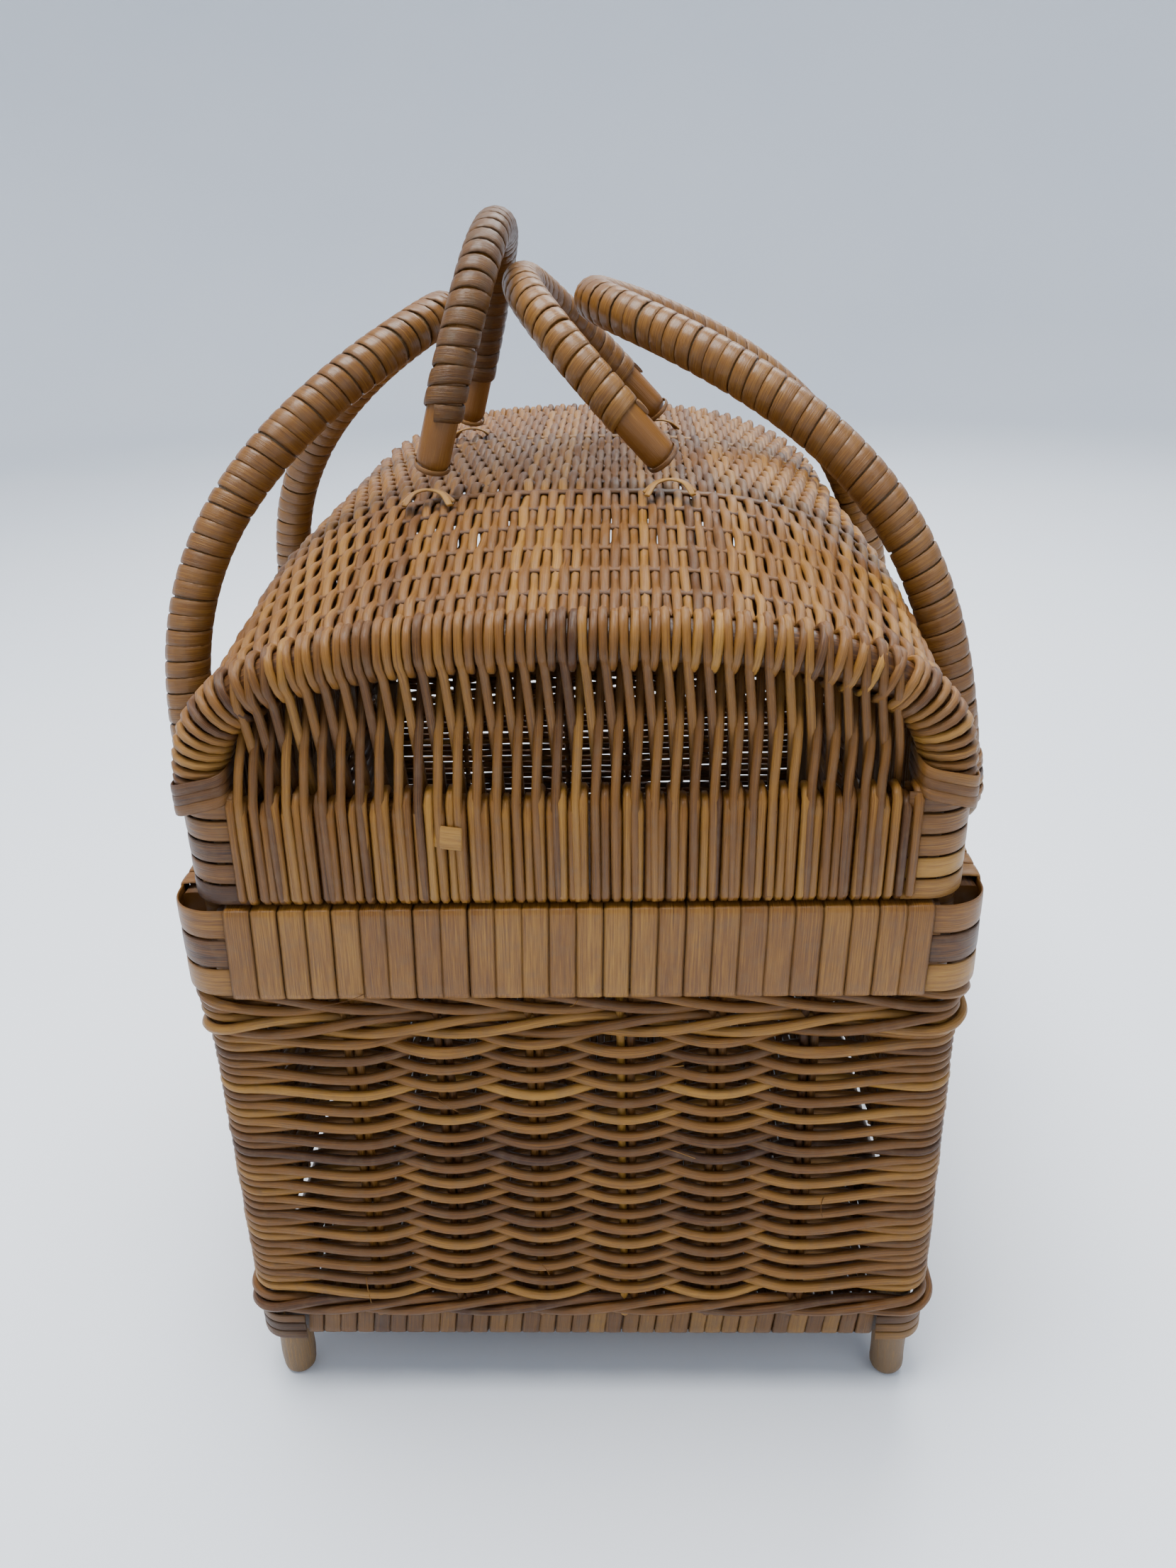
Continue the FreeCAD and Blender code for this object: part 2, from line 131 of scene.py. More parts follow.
class BasketSizes(bpy.types.PropertyGroup):
    """Sizes of the reeds, the cane and their spacing."""

    reed_radius: FloatProperty(
        name="Wall reed radius", description="Radius of the reed woven round the walls",
        default=1.84 * MM, unit="LENGTH")
    row_count: IntProperty(
        name="Wall rows", description="Rows of reed between the two twisted borders", default=33)
    strand_count: IntProperty(
        name="Lid strands", description="Strands that run over the lid from hoop to hoop", default=104)
    strand_radius: FloatProperty(
        name="Lid strand radius", description="Radius of a strand on the lid",
        default=1.70 * MM, unit="LENGTH")
    cross_pitch: FloatProperty(
        name="Lid row spacing", description="Spacing of the rods across the lid",
        default=15.0 * MM, unit="LENGTH")
    rim_wrap_pitch: FloatProperty(
        name="Rim wrap pitch", description="Spacing of the flat cane round the rim",
        default=8.7 * MM, unit="LENGTH")
    band_wrap_pitch: FloatProperty(
        name="Lid band wrap pitch", description="Spacing of the reed round the lid's band",
        default=3.4 * MM, unit="LENGTH")
    handle_pitch: FloatProperty(
        name="Handle wrap pitch", description="Spacing of the flat cane round a handle",
        default=5.6 * MM, unit="LENGTH")
    cane_thickness: FloatProperty(
        name="Cane thickness", description="Thickness of the flat cane", default=0.9 * MM, unit="LENGTH")
    stake_pitch: FloatProperty(
        name="Stake pitch", description="Spacing of the pairs of stakes", default=31.0 * MM, unit="LENGTH")
    seed: IntProperty(name="Seed", description="Seed of the small differences between strands", default=7)


class BasketColours(bpy.types.PropertyGroup):
    """Colours of the dry cane, from its shadows to its light skin."""

    dark: FloatVectorProperty(
        name="Dark cane", description="Darkest strands", subtype="COLOR", size=4,
        default=(0.056, 0.018, 0.004, 1))
    honey: FloatVectorProperty(
        name="Honey cane", description="Most strands", subtype="COLOR", size=4,
        default=(0.225, 0.088, 0.012, 1))
    gold: FloatVectorProperty(
        name="Golden cane", description="Lightest strands", subtype="COLOR", size=4,
        default=(0.450, 0.220, 0.035, 1))
    grey: FloatVectorProperty(
        name="Weathered wood", description="Worn poles and greyed strands", subtype="COLOR", size=4,
        default=(0.185, 0.110, 0.050, 1))


# ---------------------------------------------------------------- surfaces

def unit(vectors):
    """Vectors divided by their lengths."""
    return vectors / np.maximum(np.linalg.norm(vectors, axis=-1, keepdims=True), 1e-12)


def signed_power(values, power):
    """The value's size raised to a power, with its sign kept."""
    return np.sign(values) * np.abs(values) ** power


def square_to(tangent, hint):
    """Unit normals, the hint made square to each direction, and the sides that complete them."""
    hint = np.broadcast_to(hint, tangent.shape)
    normal = unit(hint - (hint * tangent).sum(-1, keepdims=True) * tangent)
    return normal, np.cross(tangent, normal)


def per_point(value, count, steps):
    """A width given once, once for each path or once for each point, as one number for each point."""
    value = np.asarray(value, float)
    return np.broadcast_to(value.reshape(value.shape + (1,) * (2 - value.ndim)), (count, steps))


def distances(path):
    """Distance along a path from its start to each of its points."""
    return np.concatenate([[0], np.cumsum(np.linalg.norm(np.diff(path, axis=0), axis=1))])


def sweep(paths, wide, thick, hint, sides=8, power=2.0, closed=False):
    """A bundle of rods: a superellipse, wide across and thick along the hint, carried along each path.

    The ring at a path point is side * wide * cos + normal * thick * sin, where normal is the hint
    made square to the path and side is the path's direction crossed with it.
    """
    paths = np.asarray(paths, float)
    count, steps, _ = paths.shape
    if closed:
        tangent = unit(np.roll(paths, -1, axis=1) - np.roll(paths, 1, axis=1))
    else:
        tangent = unit(np.gradient(paths, axis=1))
    normal, side = square_to(tangent, hint)
    angle = np.linspace(0, 2 * np.pi, sides, endpoint=False)
    across = signed_power(np.cos(angle), 2 / power)[:, None]
    through = signed_power(np.sin(angle), 2 / power)[:, None]
    wide = per_point(wide, count, steps)[:, :, None, None]
    thick = per_point(thick, count, steps)[:, :, None, None]
    rings = paths[:, :, None] + side[:, :, None] * across * wide + normal[:, :, None] * through * thick
    spans = steps if closed else steps - 1
    first = np.arange(count)[:, None, None] * steps * sides
    along = np.arange(spans)[None, :, None]
    ring = np.arange(sides)[None, None, :]
    here = first + along * sides + ring
    beside = first + along * sides + (ring + 1) % sides
    ahead = first + (along + 1) % steps * sides + ring
    ahead_beside = first + (along + 1) % steps * sides + (ring + 1) % sides
    quads = np.stack([here, ahead, ahead_beside, beside], axis=-1).reshape(-1, 4)
    gaps = np.linalg.norm(np.diff(paths, axis=1, append=paths[:, :1]), axis=-1)
    length = np.concatenate([np.zeros((count, 1)), np.cumsum(gaps, axis=1)], axis=1)
    start = np.broadcast_to(length[:, :spans, None], here.shape)
    stop = np.broadcast_to(length[:, 1:spans + 1, None], here.shape)
    low = np.broadcast_to(ring / sides, here.shape)
    high = np.broadcast_to((ring + 1) / sides, here.shape)
    uv = np.stack([
        np.stack([start, low], -1), np.stack([stop, low], -1),
        np.stack([stop, high], -1), np.stack([start, high], -1)], axis=-2).reshape(-1, 2)
    caps = np.zeros((0, sides), int)
    if not closed:
        near = first[:, 0] + np.arange(sides)[None]
        far = near + (steps - 1) * sides
        caps = np.concatenate([near, far[:, ::-1]])
    return rings.reshape(-1, 3), quads, caps, uv, count, steps * sides


def join(parts):
    """Several bundles, each with its tones, numbered on from one another."""
    corners, quads, caps, uvs, shades = [], [], [], [], []
    offset = 0
    for (verts, faces, ends, uv, count, each), tone in parts:
        corners.append(verts)
        quads.append(faces + offset)
        caps.append(ends + offset)
        uvs.append(uv)
        shades.append(np.repeat(np.broadcast_to(tone, (count,)), each))
        offset += len(verts)
    return corners, quads, caps, uvs, shades


def piece(name, body, parts, material, replaced=()):
    """A mesh from bundles of rods, riding on a body and standing for frame nodes."""
    corners, quads, caps, uvs, shades = join(parts)
    verts = np.concatenate(corners)
    quads = np.concatenate(quads)
    loops = [quads.reshape(-1)]
    totals = [np.full(len(quads), 4)]
    for ends in caps:
        if len(ends):
            loops.append(ends.reshape(-1))
            totals.append(np.full(len(ends), ends.shape[1]))
    loops = np.concatenate(loops).astype(np.int32)
    totals = np.concatenate(totals).astype(np.int32)
    starts = np.concatenate([[0], np.cumsum(totals)[:-1]]).astype(np.int32)
    mesh = bpy.data.meshes.new(name)
    mesh.vertices.add(len(verts))
    mesh.vertices.foreach_set("co", verts.astype(np.float32).reshape(-1))
    mesh.loops.add(len(loops))
    mesh.loops.foreach_set("vertex_index", loops)
    mesh.polygons.add(len(totals))
    mesh.polygons.foreach_set("loop_start", starts)
    mesh.polygons.foreach_set("use_smooth", np.concatenate([
        np.ones(len(quads), bool), np.zeros(len(totals) - len(quads), bool)]))
    layer = mesh.uv_layers.new(name="UVMap")
    uv = np.zeros((len(loops), 2), np.float32)
    strip_uv = np.concatenate(uvs)
    uv[:len(strip_uv)] = strip_uv
    layer.data.foreach_set("uv", uv.reshape(-1))
    tone = mesh.attributes.new("tone", "FLOAT", "POINT")
    tone.data.foreach_set("value", np.concatenate(shades).astype(np.float32))
    mesh.update(calc_edges=True)
    mesh.validate()
    mesh.materials.append(material)
    obj = bpy.data.objects.new(name, mesh)
    bpy.context.scene.collection.objects.link(obj)
    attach(obj, body)
    if replaced:
        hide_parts(*replaced)
    return obj


def smooth_path(controls, steps, closed):
    """Catmull-Rom curves through rows of control points: a cubic between each pair of neighbours."""
    controls = np.asarray(controls, float)
    if closed:
        before, after, beyond = (np.roll(controls, shift, axis=1) for shift in (1, -1, -2))
        here = controls
    else:
        first = 2 * controls[:, :1] - controls[:, 1:2]
        last = 2 * controls[:, -1:] - controls[:, -2:-1]
        padded = np.concatenate([first, controls, last], axis=1)
        before, here, after, beyond = (padded[:, i:len(padded[0]) - 3 + i] for i in range(4))
    f = np.linspace(0, 1, steps, endpoint=False)[:, None]
    before, here, after, beyond = (part[:, :, None, :] for part in (before, here, after, beyond))
    path = 0.5 * (2 * here + (after - before) * f + (2 * before - 5 * here + 4 * after - beyond) * f ** 2
                  + (3 * here - before - 3 * after + beyond) * f ** 3)
    path = path.reshape(len(controls), -1, 3)
    if closed:
        return path
    return np.concatenate([path, controls[:, -1:]], axis=1)


def even(path, count):
    """One path at evenly spaced distances along it, and its length."""
    path = np.asarray(path, float)
    along = distances(path)
    places = np.linspace(0, along[-1], count)
    return np.stack([np.interp(places, along, path[:, axis]) for axis in range(3)], axis=1), along[-1]


def frames(path, hint):
    """Normal and side at each point of a path."""
    return square_to(unit(np.gradient(path, axis=-2)), hint)


def helix(path, hint, radius, pitch, turn_steps=14, start=0.0):
    """A strip wound round a path: the path point plus a radius that turns once every pitch."""
    _, length = even(path, 2)
    turns = length / pitch
    centre, _ = even(path, int(turns * turn_steps) + 1)
    normal, side = frames(centre, hint)
    angle = (np.linspace(0, turns, len(centre)) + start)[:, None] * 2 * np.pi
    radial = normal * np.cos(angle) + side * np.sin(angle)
    return (centre + radial * radius)[None], radial[None]


def rings_round(points, tangents, hint, radius, slope, steps=16):
    """Single turns of reed round a rod at chosen points, each sloping a little along the rod."""
    normal, side = square_to(tangents, hint)
    angle = np.linspace(0, 2 * np.pi, steps, endpoint=False)[None, :, None]
    radial = normal[:, None] * np.cos(angle) + side[:, None] * np.sin(angle)
    loops = points[:, None] + radial * radius + tangents[:, None] * slope * np.sin(angle)
    return loops, radial


def outline(half_x, half_y, corner_x, corner_y, count):
    """Even points round a rounded rectangle from the near left corner, their normals, and distances."""
    quarter = np.linspace(0, np.pi / 2, 13)
    radius_x = half_x - corner_x
    radius_y = half_y - corner_y
    points = []
    for sign_x, sign_y, start in ((1, -1, -np.pi / 2), (1, 1, 0), (-1, 1, np.pi / 2), (-1, -1, np.pi)):
        angle = start + quarter
        points.append(np.stack([
            sign_x * corner_x + radius_x * np.cos(angle),
            sign_y * corner_y + radius_y * np.sin(angle), angle], 1))
    points = np.concatenate([[[-corner_x, -half_y, -np.pi / 2]], *points])
    along = distances(points[:, :2])
    places = np.linspace(0, along[-1], count, endpoint=False)
    x, y, angle = (np.interp(places, along, points[:, axis]) for axis in range(3))
    normal = np.stack([np.cos(angle), np.sin(angle), np.zeros(count)], 1)
    return np.stack([x, y, np.zeros(count)], 1), normal, places, along[-1]


def arch_shape(angle, power=ARCH_POWER):
    """Across and up of a superellipse arch of half width 1 and height 1, from 0 (right) to pi (left)."""
    return signed_power(np.cos(angle), 2 / power), np.abs(np.sin(angle)) ** (2 / power)


def arch(angle, half, bottom, top, y):
    """Points of the lid's arch: the arch shape made half wide and lifted from bottom to top."""
    across, up = arch_shape(angle)
    y = np.broadcast_to(y, across.shape)
    return np.stack([half * across, y, bottom + up * (top - bottom)], axis=-1)


def even_angles(count, half, height):
    """Angles that divide an arch into equal lengths, left to right."""
    dense = np.linspace(np.pi, 0, 2001)
    along = distances(arch(dense, half, 0, height, 0.0))
    places = (np.arange(count) + 0.5) / count * along[-1]
    return np.interp(places, along, dense)


def lid_top(y):
    """Height of the lid's top along its length: up to the near crease, level, then down a little.

    The creases are softened by the mean of five copies of that line, 4 mm apart.
    """
    settle = 2.2 * MM
    near = HOOP_TOPS["near"] + HOOP_RADIUS
    far = HOOP_TOPS["far"] + HOOP_RADIUS
    soft = sum(np.interp(y + shift, (-WEAVE_END, -CREASE, CREASE, WEAVE_END), (near, CREST, CREST, far))
               for shift in (-8 * MM, -4 * MM, 0, 4 * MM, 8 * MM)) / 5
    return soft - settle


def wander(rng, count, steps, size, waves=5):
    """Smooth random sway: size times the sum of weight * sin(2 * order * place + phase) over the waves."""
    place = np.linspace(0, 2 * np.pi, steps, endpoint=False)[None, :, None]
    order = np.arange(1, waves + 1)[None, None, :]
    phase = rng.uniform(0, 2 * np.pi, (count, 1, waves))
    weight = rng.normal(0, 1, (count, 1, waves)) / np.sqrt(waves)
    return (np.sin(place * order * 2 + phase) * weight).sum(-1) * size


# ---------------------------------------------------------------- materials

def node_tree_group(name, inputs, outputs):
    """An empty shader group with named inputs and outputs."""
    group = bpy.data.node_groups.new(name, "ShaderNodeTree")
    for label, kind, default in inputs:
        socket = group.interface.new_socket(label, in_out="INPUT", socket_type=kind)
        if default is not None:
            socket.default_value = default
    for label, kind in outputs:
        group.interface.new_socket(label, in_out="OUTPUT", socket_type=kind)
    return group, group.nodes.new("NodeGroupInput"), group.nodes.new("NodeGroupOutput")


def math_node(nodes, links, operation, values, clamp=False):
    """A Math node fed by sockets or numbers."""
    made = nodes.new("ShaderNodeMath")
    made.operation = operation
    made.use_clamp = clamp
    for index, value in enumerate(values):
        if isinstance(value, (int, float)):
            made.inputs[index].default_value = value
        else:
            links.new(value, made.inputs[index])
    return made.outputs[0]


def noise_node(nodes, links, vector, scale, detail, roughness=0.5):
    """A Noise texture's value, its scale a socket or a number."""
    made = nodes.new("ShaderNodeTexNoise")
    made.inputs["Detail"].default_value = detail
    made.inputs["Roughness"].default_value = roughness
    links.new(vector, made.inputs["Vector"])
    if isinstance(scale, (int, float)):
        made.inputs["Scale"].default_value = scale
    else:
        links.new(scale, made.inputs["Scale"])
    return made.outputs["Fac"]


def rise_node(nodes, links, value, low, high):
    """0 below low, 1 above high and even in between."""
    made = nodes.new("ShaderNodeMapRange")
    made.inputs["From Min"].default_value = low
    made.inputs["From Max"].default_value = high
    links.new(value, made.inputs["Value"])
    return made.outputs[0]


def mix_node(nodes, links, factor, first, second):
    """Two colours mixed by a factor."""
    made = nodes.new("ShaderNodeMix")
    made.data_type = "RGBA"
    for label, value in (("Factor", factor), ("A", first), ("B", second)):
        links.new(value, made.inputs[label])
    return made.outputs["Result"]


def cane_fibres():
    """Group: fine lines along a strand, its patchy tone, and dirt, from its own length and tone."""
    group, start, end = node_tree_group(
        "CaneFibres",
        (("Fibre Scale", "NodeSocketFloat", 9.0), ("Patch Scale", "NodeSocketFloat", 22.0),
         ("Dark", "NodeSocketColor", (0.1, 0.05, 0.02, 1)), ("Mid", "NodeSocketColor", (0.3, 0.16, 0.06, 1)),
         ("Light", "NodeSocketColor", (0.5, 0.3, 0.12, 1)), ("Grey", "NodeSocketColor", (0.2, 0.15, 0.1, 1)),
         ("Worn", "NodeSocketFloat", 0.35)),
        (("Color", "NodeSocketColor"), ("Roughness", "NodeSocketFloat"), ("Height", "NodeSocketFloat")))
    nodes, links = group.nodes, group.links
    uv = nodes.new("ShaderNodeUVMap")
    uv.uv_map = "UVMap"
    tone = nodes.new("ShaderNodeAttribute")
    tone.attribute_name = "tone"
    where = nodes.new("ShaderNodeTexCoord")
    stretch = nodes.new("ShaderNodeMapping")
    stretch.inputs["Scale"].default_value = (5.0, 6.0, 1.0)
    links.new(uv.outputs[0], stretch.inputs["Vector"])
    lift = nodes.new("ShaderNodeCombineXYZ")
    links.new(math_node(nodes, links, "MULTIPLY", (tone.outputs["Fac"], 37.0)), lift.inputs["Z"])
    apart = nodes.new("ShaderNodeVectorMath")
    apart.operation = "ADD"
    links.new(stretch.outputs[0], apart.inputs[0])
    links.new(lift.outputs[0], apart.inputs[1])
    lines = noise_node(nodes, links, apart.outputs[0], start.outputs["Fibre Scale"], 4, 0.65)
    patches = noise_node(nodes, links, where.outputs["Object"], start.outputs["Patch Scale"], 5, 0.6)
    fine = noise_node(nodes, links, where.outputs["Object"], 260.0, 3)

    patch_push = math_node(nodes, links, "MULTIPLY_ADD", (patches, 0.55, -0.275))
    fibre_push = math_node(nodes, links, "MULTIPLY_ADD", (lines, 1.5, -0.75))
    level = math_node(nodes, links, "ADD", (patch_push, tone.outputs["Fac"]))
    level = math_node(nodes, links, "ADD", (level, fibre_push), clamp=True)
    colour = mix_node(
        nodes, links, rise_node(nodes, links, level, 0, 0.5), start.outputs["Dark"], start.outputs["Mid"])
    colour = mix_node(nodes, links, rise_node(nodes, links, level, 0.5, 1), colour, start.outputs["Light"])
    dull = rise_node(nodes, links, fine, 0.48, 0.72)
    worn = math_node(nodes, links, "MULTIPLY", (dull, start.outputs["Worn"]))
    links.new(mix_node(nodes, links, worn, colour, start.outputs["Grey"]), end.inputs["Color"])
    links.new(math_node(nodes, links, "MULTIPLY_ADD", (lines, 0.35, 0.24)), end.inputs["Roughness"])
    links.new(math_node(nodes, links, "MULTIPLY_ADD", (fine, 0.35, lines)), end.inputs["Height"])
    return group


def cane_material(name, group, tints, fibre, patch, worn, bump, coat, shade):
    """A cane or wood finish: the fibre group feeding one shader, with its bump and skin gloss.

    fibre and patch are the scales of the fine lines and the blotches, worn the share of grey, bump
    the depth of the lines in metres, coat the gloss of the skin, and shade multiplies all the tints.
    """
    material = bpy.data.materials.new(name)
    material.use_nodes = True
    nodes, links = material.node_tree.nodes, material.node_tree.links
    shader = nodes["Principled BSDF"]
    effect = nodes.new("ShaderNodeGroup")
    effect.node_tree = group
    effect.inputs["Fibre Scale"].default_value = fibre
    effect.inputs["Patch Scale"].default_value = patch
    effect.inputs["Worn"].default_value = worn
    for label, colour in zip(("Dark", "Mid", "Light", "Grey"), tints):
        effect.inputs[label].default_value = (*(channel * shade for channel in colour[:3]), 1)
    relief = nodes.new("ShaderNodeBump")
    relief.inputs["Strength"].default_value = 0.8
    relief.inputs["Distance"].default_value = bump
    links.new(effect.outputs["Height"], relief.inputs["Height"])
    links.new(relief.outputs[0], shader.inputs["Normal"])
    links.new(effect.outputs["Color"], shader.inputs["Base Color"])
    links.new(effect.outputs["Roughness"], shader.inputs["Roughness"])
    shader.inputs["Coat Weight"].default_value = coat
    shader.inputs["Coat Roughness"].default_value = 0.22
    shader.inputs["Specular IOR Level"].default_value = 0.32
    return material


MATERIALS = {}


def make_materials(colours):
    """The basket's finishes, each from the same fibre group."""
    group = cane_fibres()
    dark, honey, gold, grey = colours.dark, colours.honey, colours.gold, colours.grey
    usual = (dark, honey, gold, grey)
    weathered = (grey, grey, gold, grey)
    bared = (honey, honey, gold, honey)
    for key, name, tints, fibre, patch, worn, bump, coat, shade in (
            ("reed", "Round reed", usual, 9, 24, 0.35, 0.00035, 0.06, 0.82),
            ("strand", "Lid strand", usual, 9, 18, 0.30, 0.00030, 0.08, 0.84),
            ("cane", "Flat cane", usual, 12, 16, 0.25, 0.00030, 0.08, 0.80),
            ("handle", "Handle cane", usual, 12, 14, 0.30, 0.00030, 0.24, 0.74),
            ("dark_cane", "Worn handle cane", usual, 12, 20, 0.60, 0.00040, 0.15, 0.50),
            ("pole", "Pole wood", weathered, 14, 30, 0.50, 0.00050, 0.00, 0.90),
            ("bare", "Bare handle wood", bared, 14, 26, 0.30, 0.00030, 0.25, 0.85),
            ("rail", "Rail cane", usual, 12, 18, 0.35, 0.00030, 0.05, 0.55)):
        MATERIALS[key] = cane_material(name, group, tints, fibre, patch, worn, bump, coat, shade)


# ---------------------------------------------------------------- body

def tones(rng, count, middle=0.5, spread=0.2):
    """One tone for each strand, from dark (0) to golden (1)."""
    return np.clip(rng.normal(middle, spread, count), 0.02, 0.98)


def make_posts(sizes):
    """Round poles with worn, rounded ends that stand at the corners."""
    rng = np.random.default_rng(sizes.seed + 1)
    steps = 40
    rounding = 4.5 * MM
    radius = half_size("post_front_left", 0)
    z = np.linspace(0, 1, steps) ** 1.6 * span("post_front_left", 2)[1]
    taper = 0.55 + 0.45 * np.sqrt(1 - (1 - np.minimum(z / rounding, 1)) ** 2)
    for end, sign_y in ENDS:
        for side, sign_x in SIDES:
            line = np.stack([np.full(steps, sign_x * POST_X), np.full(steps, sign_y * POST_Y), z], 1)
            girth = radius * taper + wander(rng, 1, steps, 0.15 * MM)[0]
            rods = sweep(line[None], girth[None], girth[None], ACROSS, sides=24)
            piece(f"pole_{end}_{side}", "basket", [(rods, tones(rng, 1, 0.45, 0.1))],
                  MATERIALS["pole"], [f"post_{end}_{side}"])


def core_bar(axis, sign, run, face, z, half_thick, half_high, power):
    """The bar inside a winding: a rounded rectangle carried along one side of the basket."""
    line = np.zeros((2, 3))
    line[:, axis] = (-run, run)
    line[:, 1 - axis] = sign * face
    line[:, 2] = z
    return sweep(line[None], half_thick, half_high, UP, sides=20, power=power)


def make_rails(sizes):
    """Oval bars between the feet, wound with flat cane, and flat strips that turn the corners."""
    rng = np.random.default_rng(sizes.seed + 2)
    z = sum(span("rail_front", 2)) / 2 + 0.6 * MM
    half_high = half_size("rail_front", 2) - 0.8 * MM
    half_thick = 3.6 * MM
    pitch = 6.4 * MM
    recess = 4.6 * MM
    for label, axis, sign, run, outer in four_sides(WALL_X, WALL_Y):
        count = int(2 * (run - 5 * MM) / pitch)
        path, hint = band_loops(
            spaced(count, pitch), axis, sign, outer - recess, 2 * half_thick, z - half_high, z + half_high,
            0.4 * MM, 1.0 * MM, rng, 2)
        width = pitch * 0.5 * (1 + rng.normal(0, 0.05, count))
        strips = sweep(path, width, 0.4 * MM, hint, sides=8, power=3, closed=True)
        bar = core_bar(
            axis, sign, run, outer - recess - half_thick, z, half_thick - 0.2 * MM, half_high - 0.3 * MM, 5)
        piece(f"rail_wound_{label}", "basket", [(strips, tones(rng, count, 0.5, 0.12)), (bar, 0.2)],
              MATERIALS["rail"], [f"rail_{label}"])
    strips = []
    for level in (-1, 0, 1):
        strip = corner_strips(
            WALL_X - 1.6 * MM, WALL_Y - 1.6 * MM, POST_X, POST_Y, z + level * 4.1 * MM, 1.95 * MM,
            sizes.cane_thickness / 2, 8 * MM)
        strips.append((strip, tones(rng, 4, 0.45, 0.2)))
    piece("rail_corner_cane", "basket", strips, MATERIALS["rail"], ["rail_corner_strips"])


def corner_strips(half_x, half_y, corner_x, corner_y, z, half_height, half_thick, reach):
    """A flat strip round each of the four corners: a straight end, a quarter turn and a straight end."""
    steps = 14
    scale = np.array([half_x - corner_x, half_y - corner_y, 0])
    paths, hints = [], []
    for sign_x, sign_y, start in ((1, 1, 0), (-1, 1, np.pi / 2), (-1, -1, np.pi), (1, -1, 3 * np.pi / 2)):
        angle = start + np.linspace(0, np.pi / 2, steps)
        out = np.stack([np.cos(angle), np.sin(angle), np.zeros(steps)], 1)
        forward = np.stack([-np.sin(angle), np.cos(angle), np.zeros(steps)], 1)
        turn = np.array([sign_x * corner_x, sign_y * corner_y, z]) + out * scale
        paths.append(np.concatenate([
            [turn[0] - forward[0] * reach], turn, [turn[-1] + forward[-1] * reach]]))
        hints.append(np.concatenate([out[:1], out, out[-1:]]))
    return sweep(np.array(paths), half_height, half_thick, np.array(hints), sides=10, power=3.5)


def make_base(sizes):
    """The woven floor: rods along the basket over and under flat rods across it.

    A rod's height is a cosine of its distance from a cross rod, with the opposite sign next to it.
    """
    rng = np.random.default_rng(sizes.seed + 3)
    low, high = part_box("base_panel")
    z = (low.z + high.z) / 2
    overlap = 6 * MM
    depth = 1.1 * MM
    half_x, half_y = POST_X + overlap, POST_Y + overlap
    count, row_count, steps = 68, 24, 120
    across = np.linspace(-half_x, half_x, count)
    rows = np.linspace(-half_y + 4 * MM, half_y - 4 * MM, row_count)
    y = np.linspace(-half_y, half_y, steps)
    wave = np.cos(np.pi * (y - rows[0]) / (rows[1] - rows[0]))
    sign = by_turns(count)[:, None]
    long = np.stack([
        np.repeat(across[:, None], steps, 1), np.repeat(y[None], count, 0), z + sign * wave * depth], 2)
    x = np.linspace(-half_x, half_x, 2)
    wide = np.stack([
        np.repeat(x[None], row_count, 0), np.repeat(rows[:, None], 2, 1), np.full((row_count, 2), z)], 2)
    parts = [(sweep(long, 1.75 * MM, 1.4 * MM, UP, 6), tones(rng, count)),
             (sweep(wide, 3.2 * MM, 1.0 * MM, UP, 6), tones(rng, row_count))]
    piece("base_weave", "basket", parts, MATERIALS["reed"], ["base_panel"])


def stake_offsets(run, pitch):
    """Middles of the stake pairs along a wall of half length run."""
    count = int(run // pitch)
    return pitch * (np.arange(-count, count) + 0.5)


def weave_knots(pitch):
    """Distance round the walls and side, out or in, of each place that a row is held, and the whole way."""
    corner = (WALL_X - POST_X - WEAVE_INSET) * math.pi / 2
    places, sides = [], []
    start = 0.0
    side = -1.0
    for run in (POST_X, POST_Y, POST_X, POST_Y):
        places.append(start)
        sides.append(0.0)
        for offset in stake_offsets(run, pitch):
            places.append(start + run + offset)
            sides.append(side)
            side = -side
        places.append(start + 2 * run)
        sides.append(0.0)
        start += 2 * run + corner
    return np.array(places), np.array(sides), start


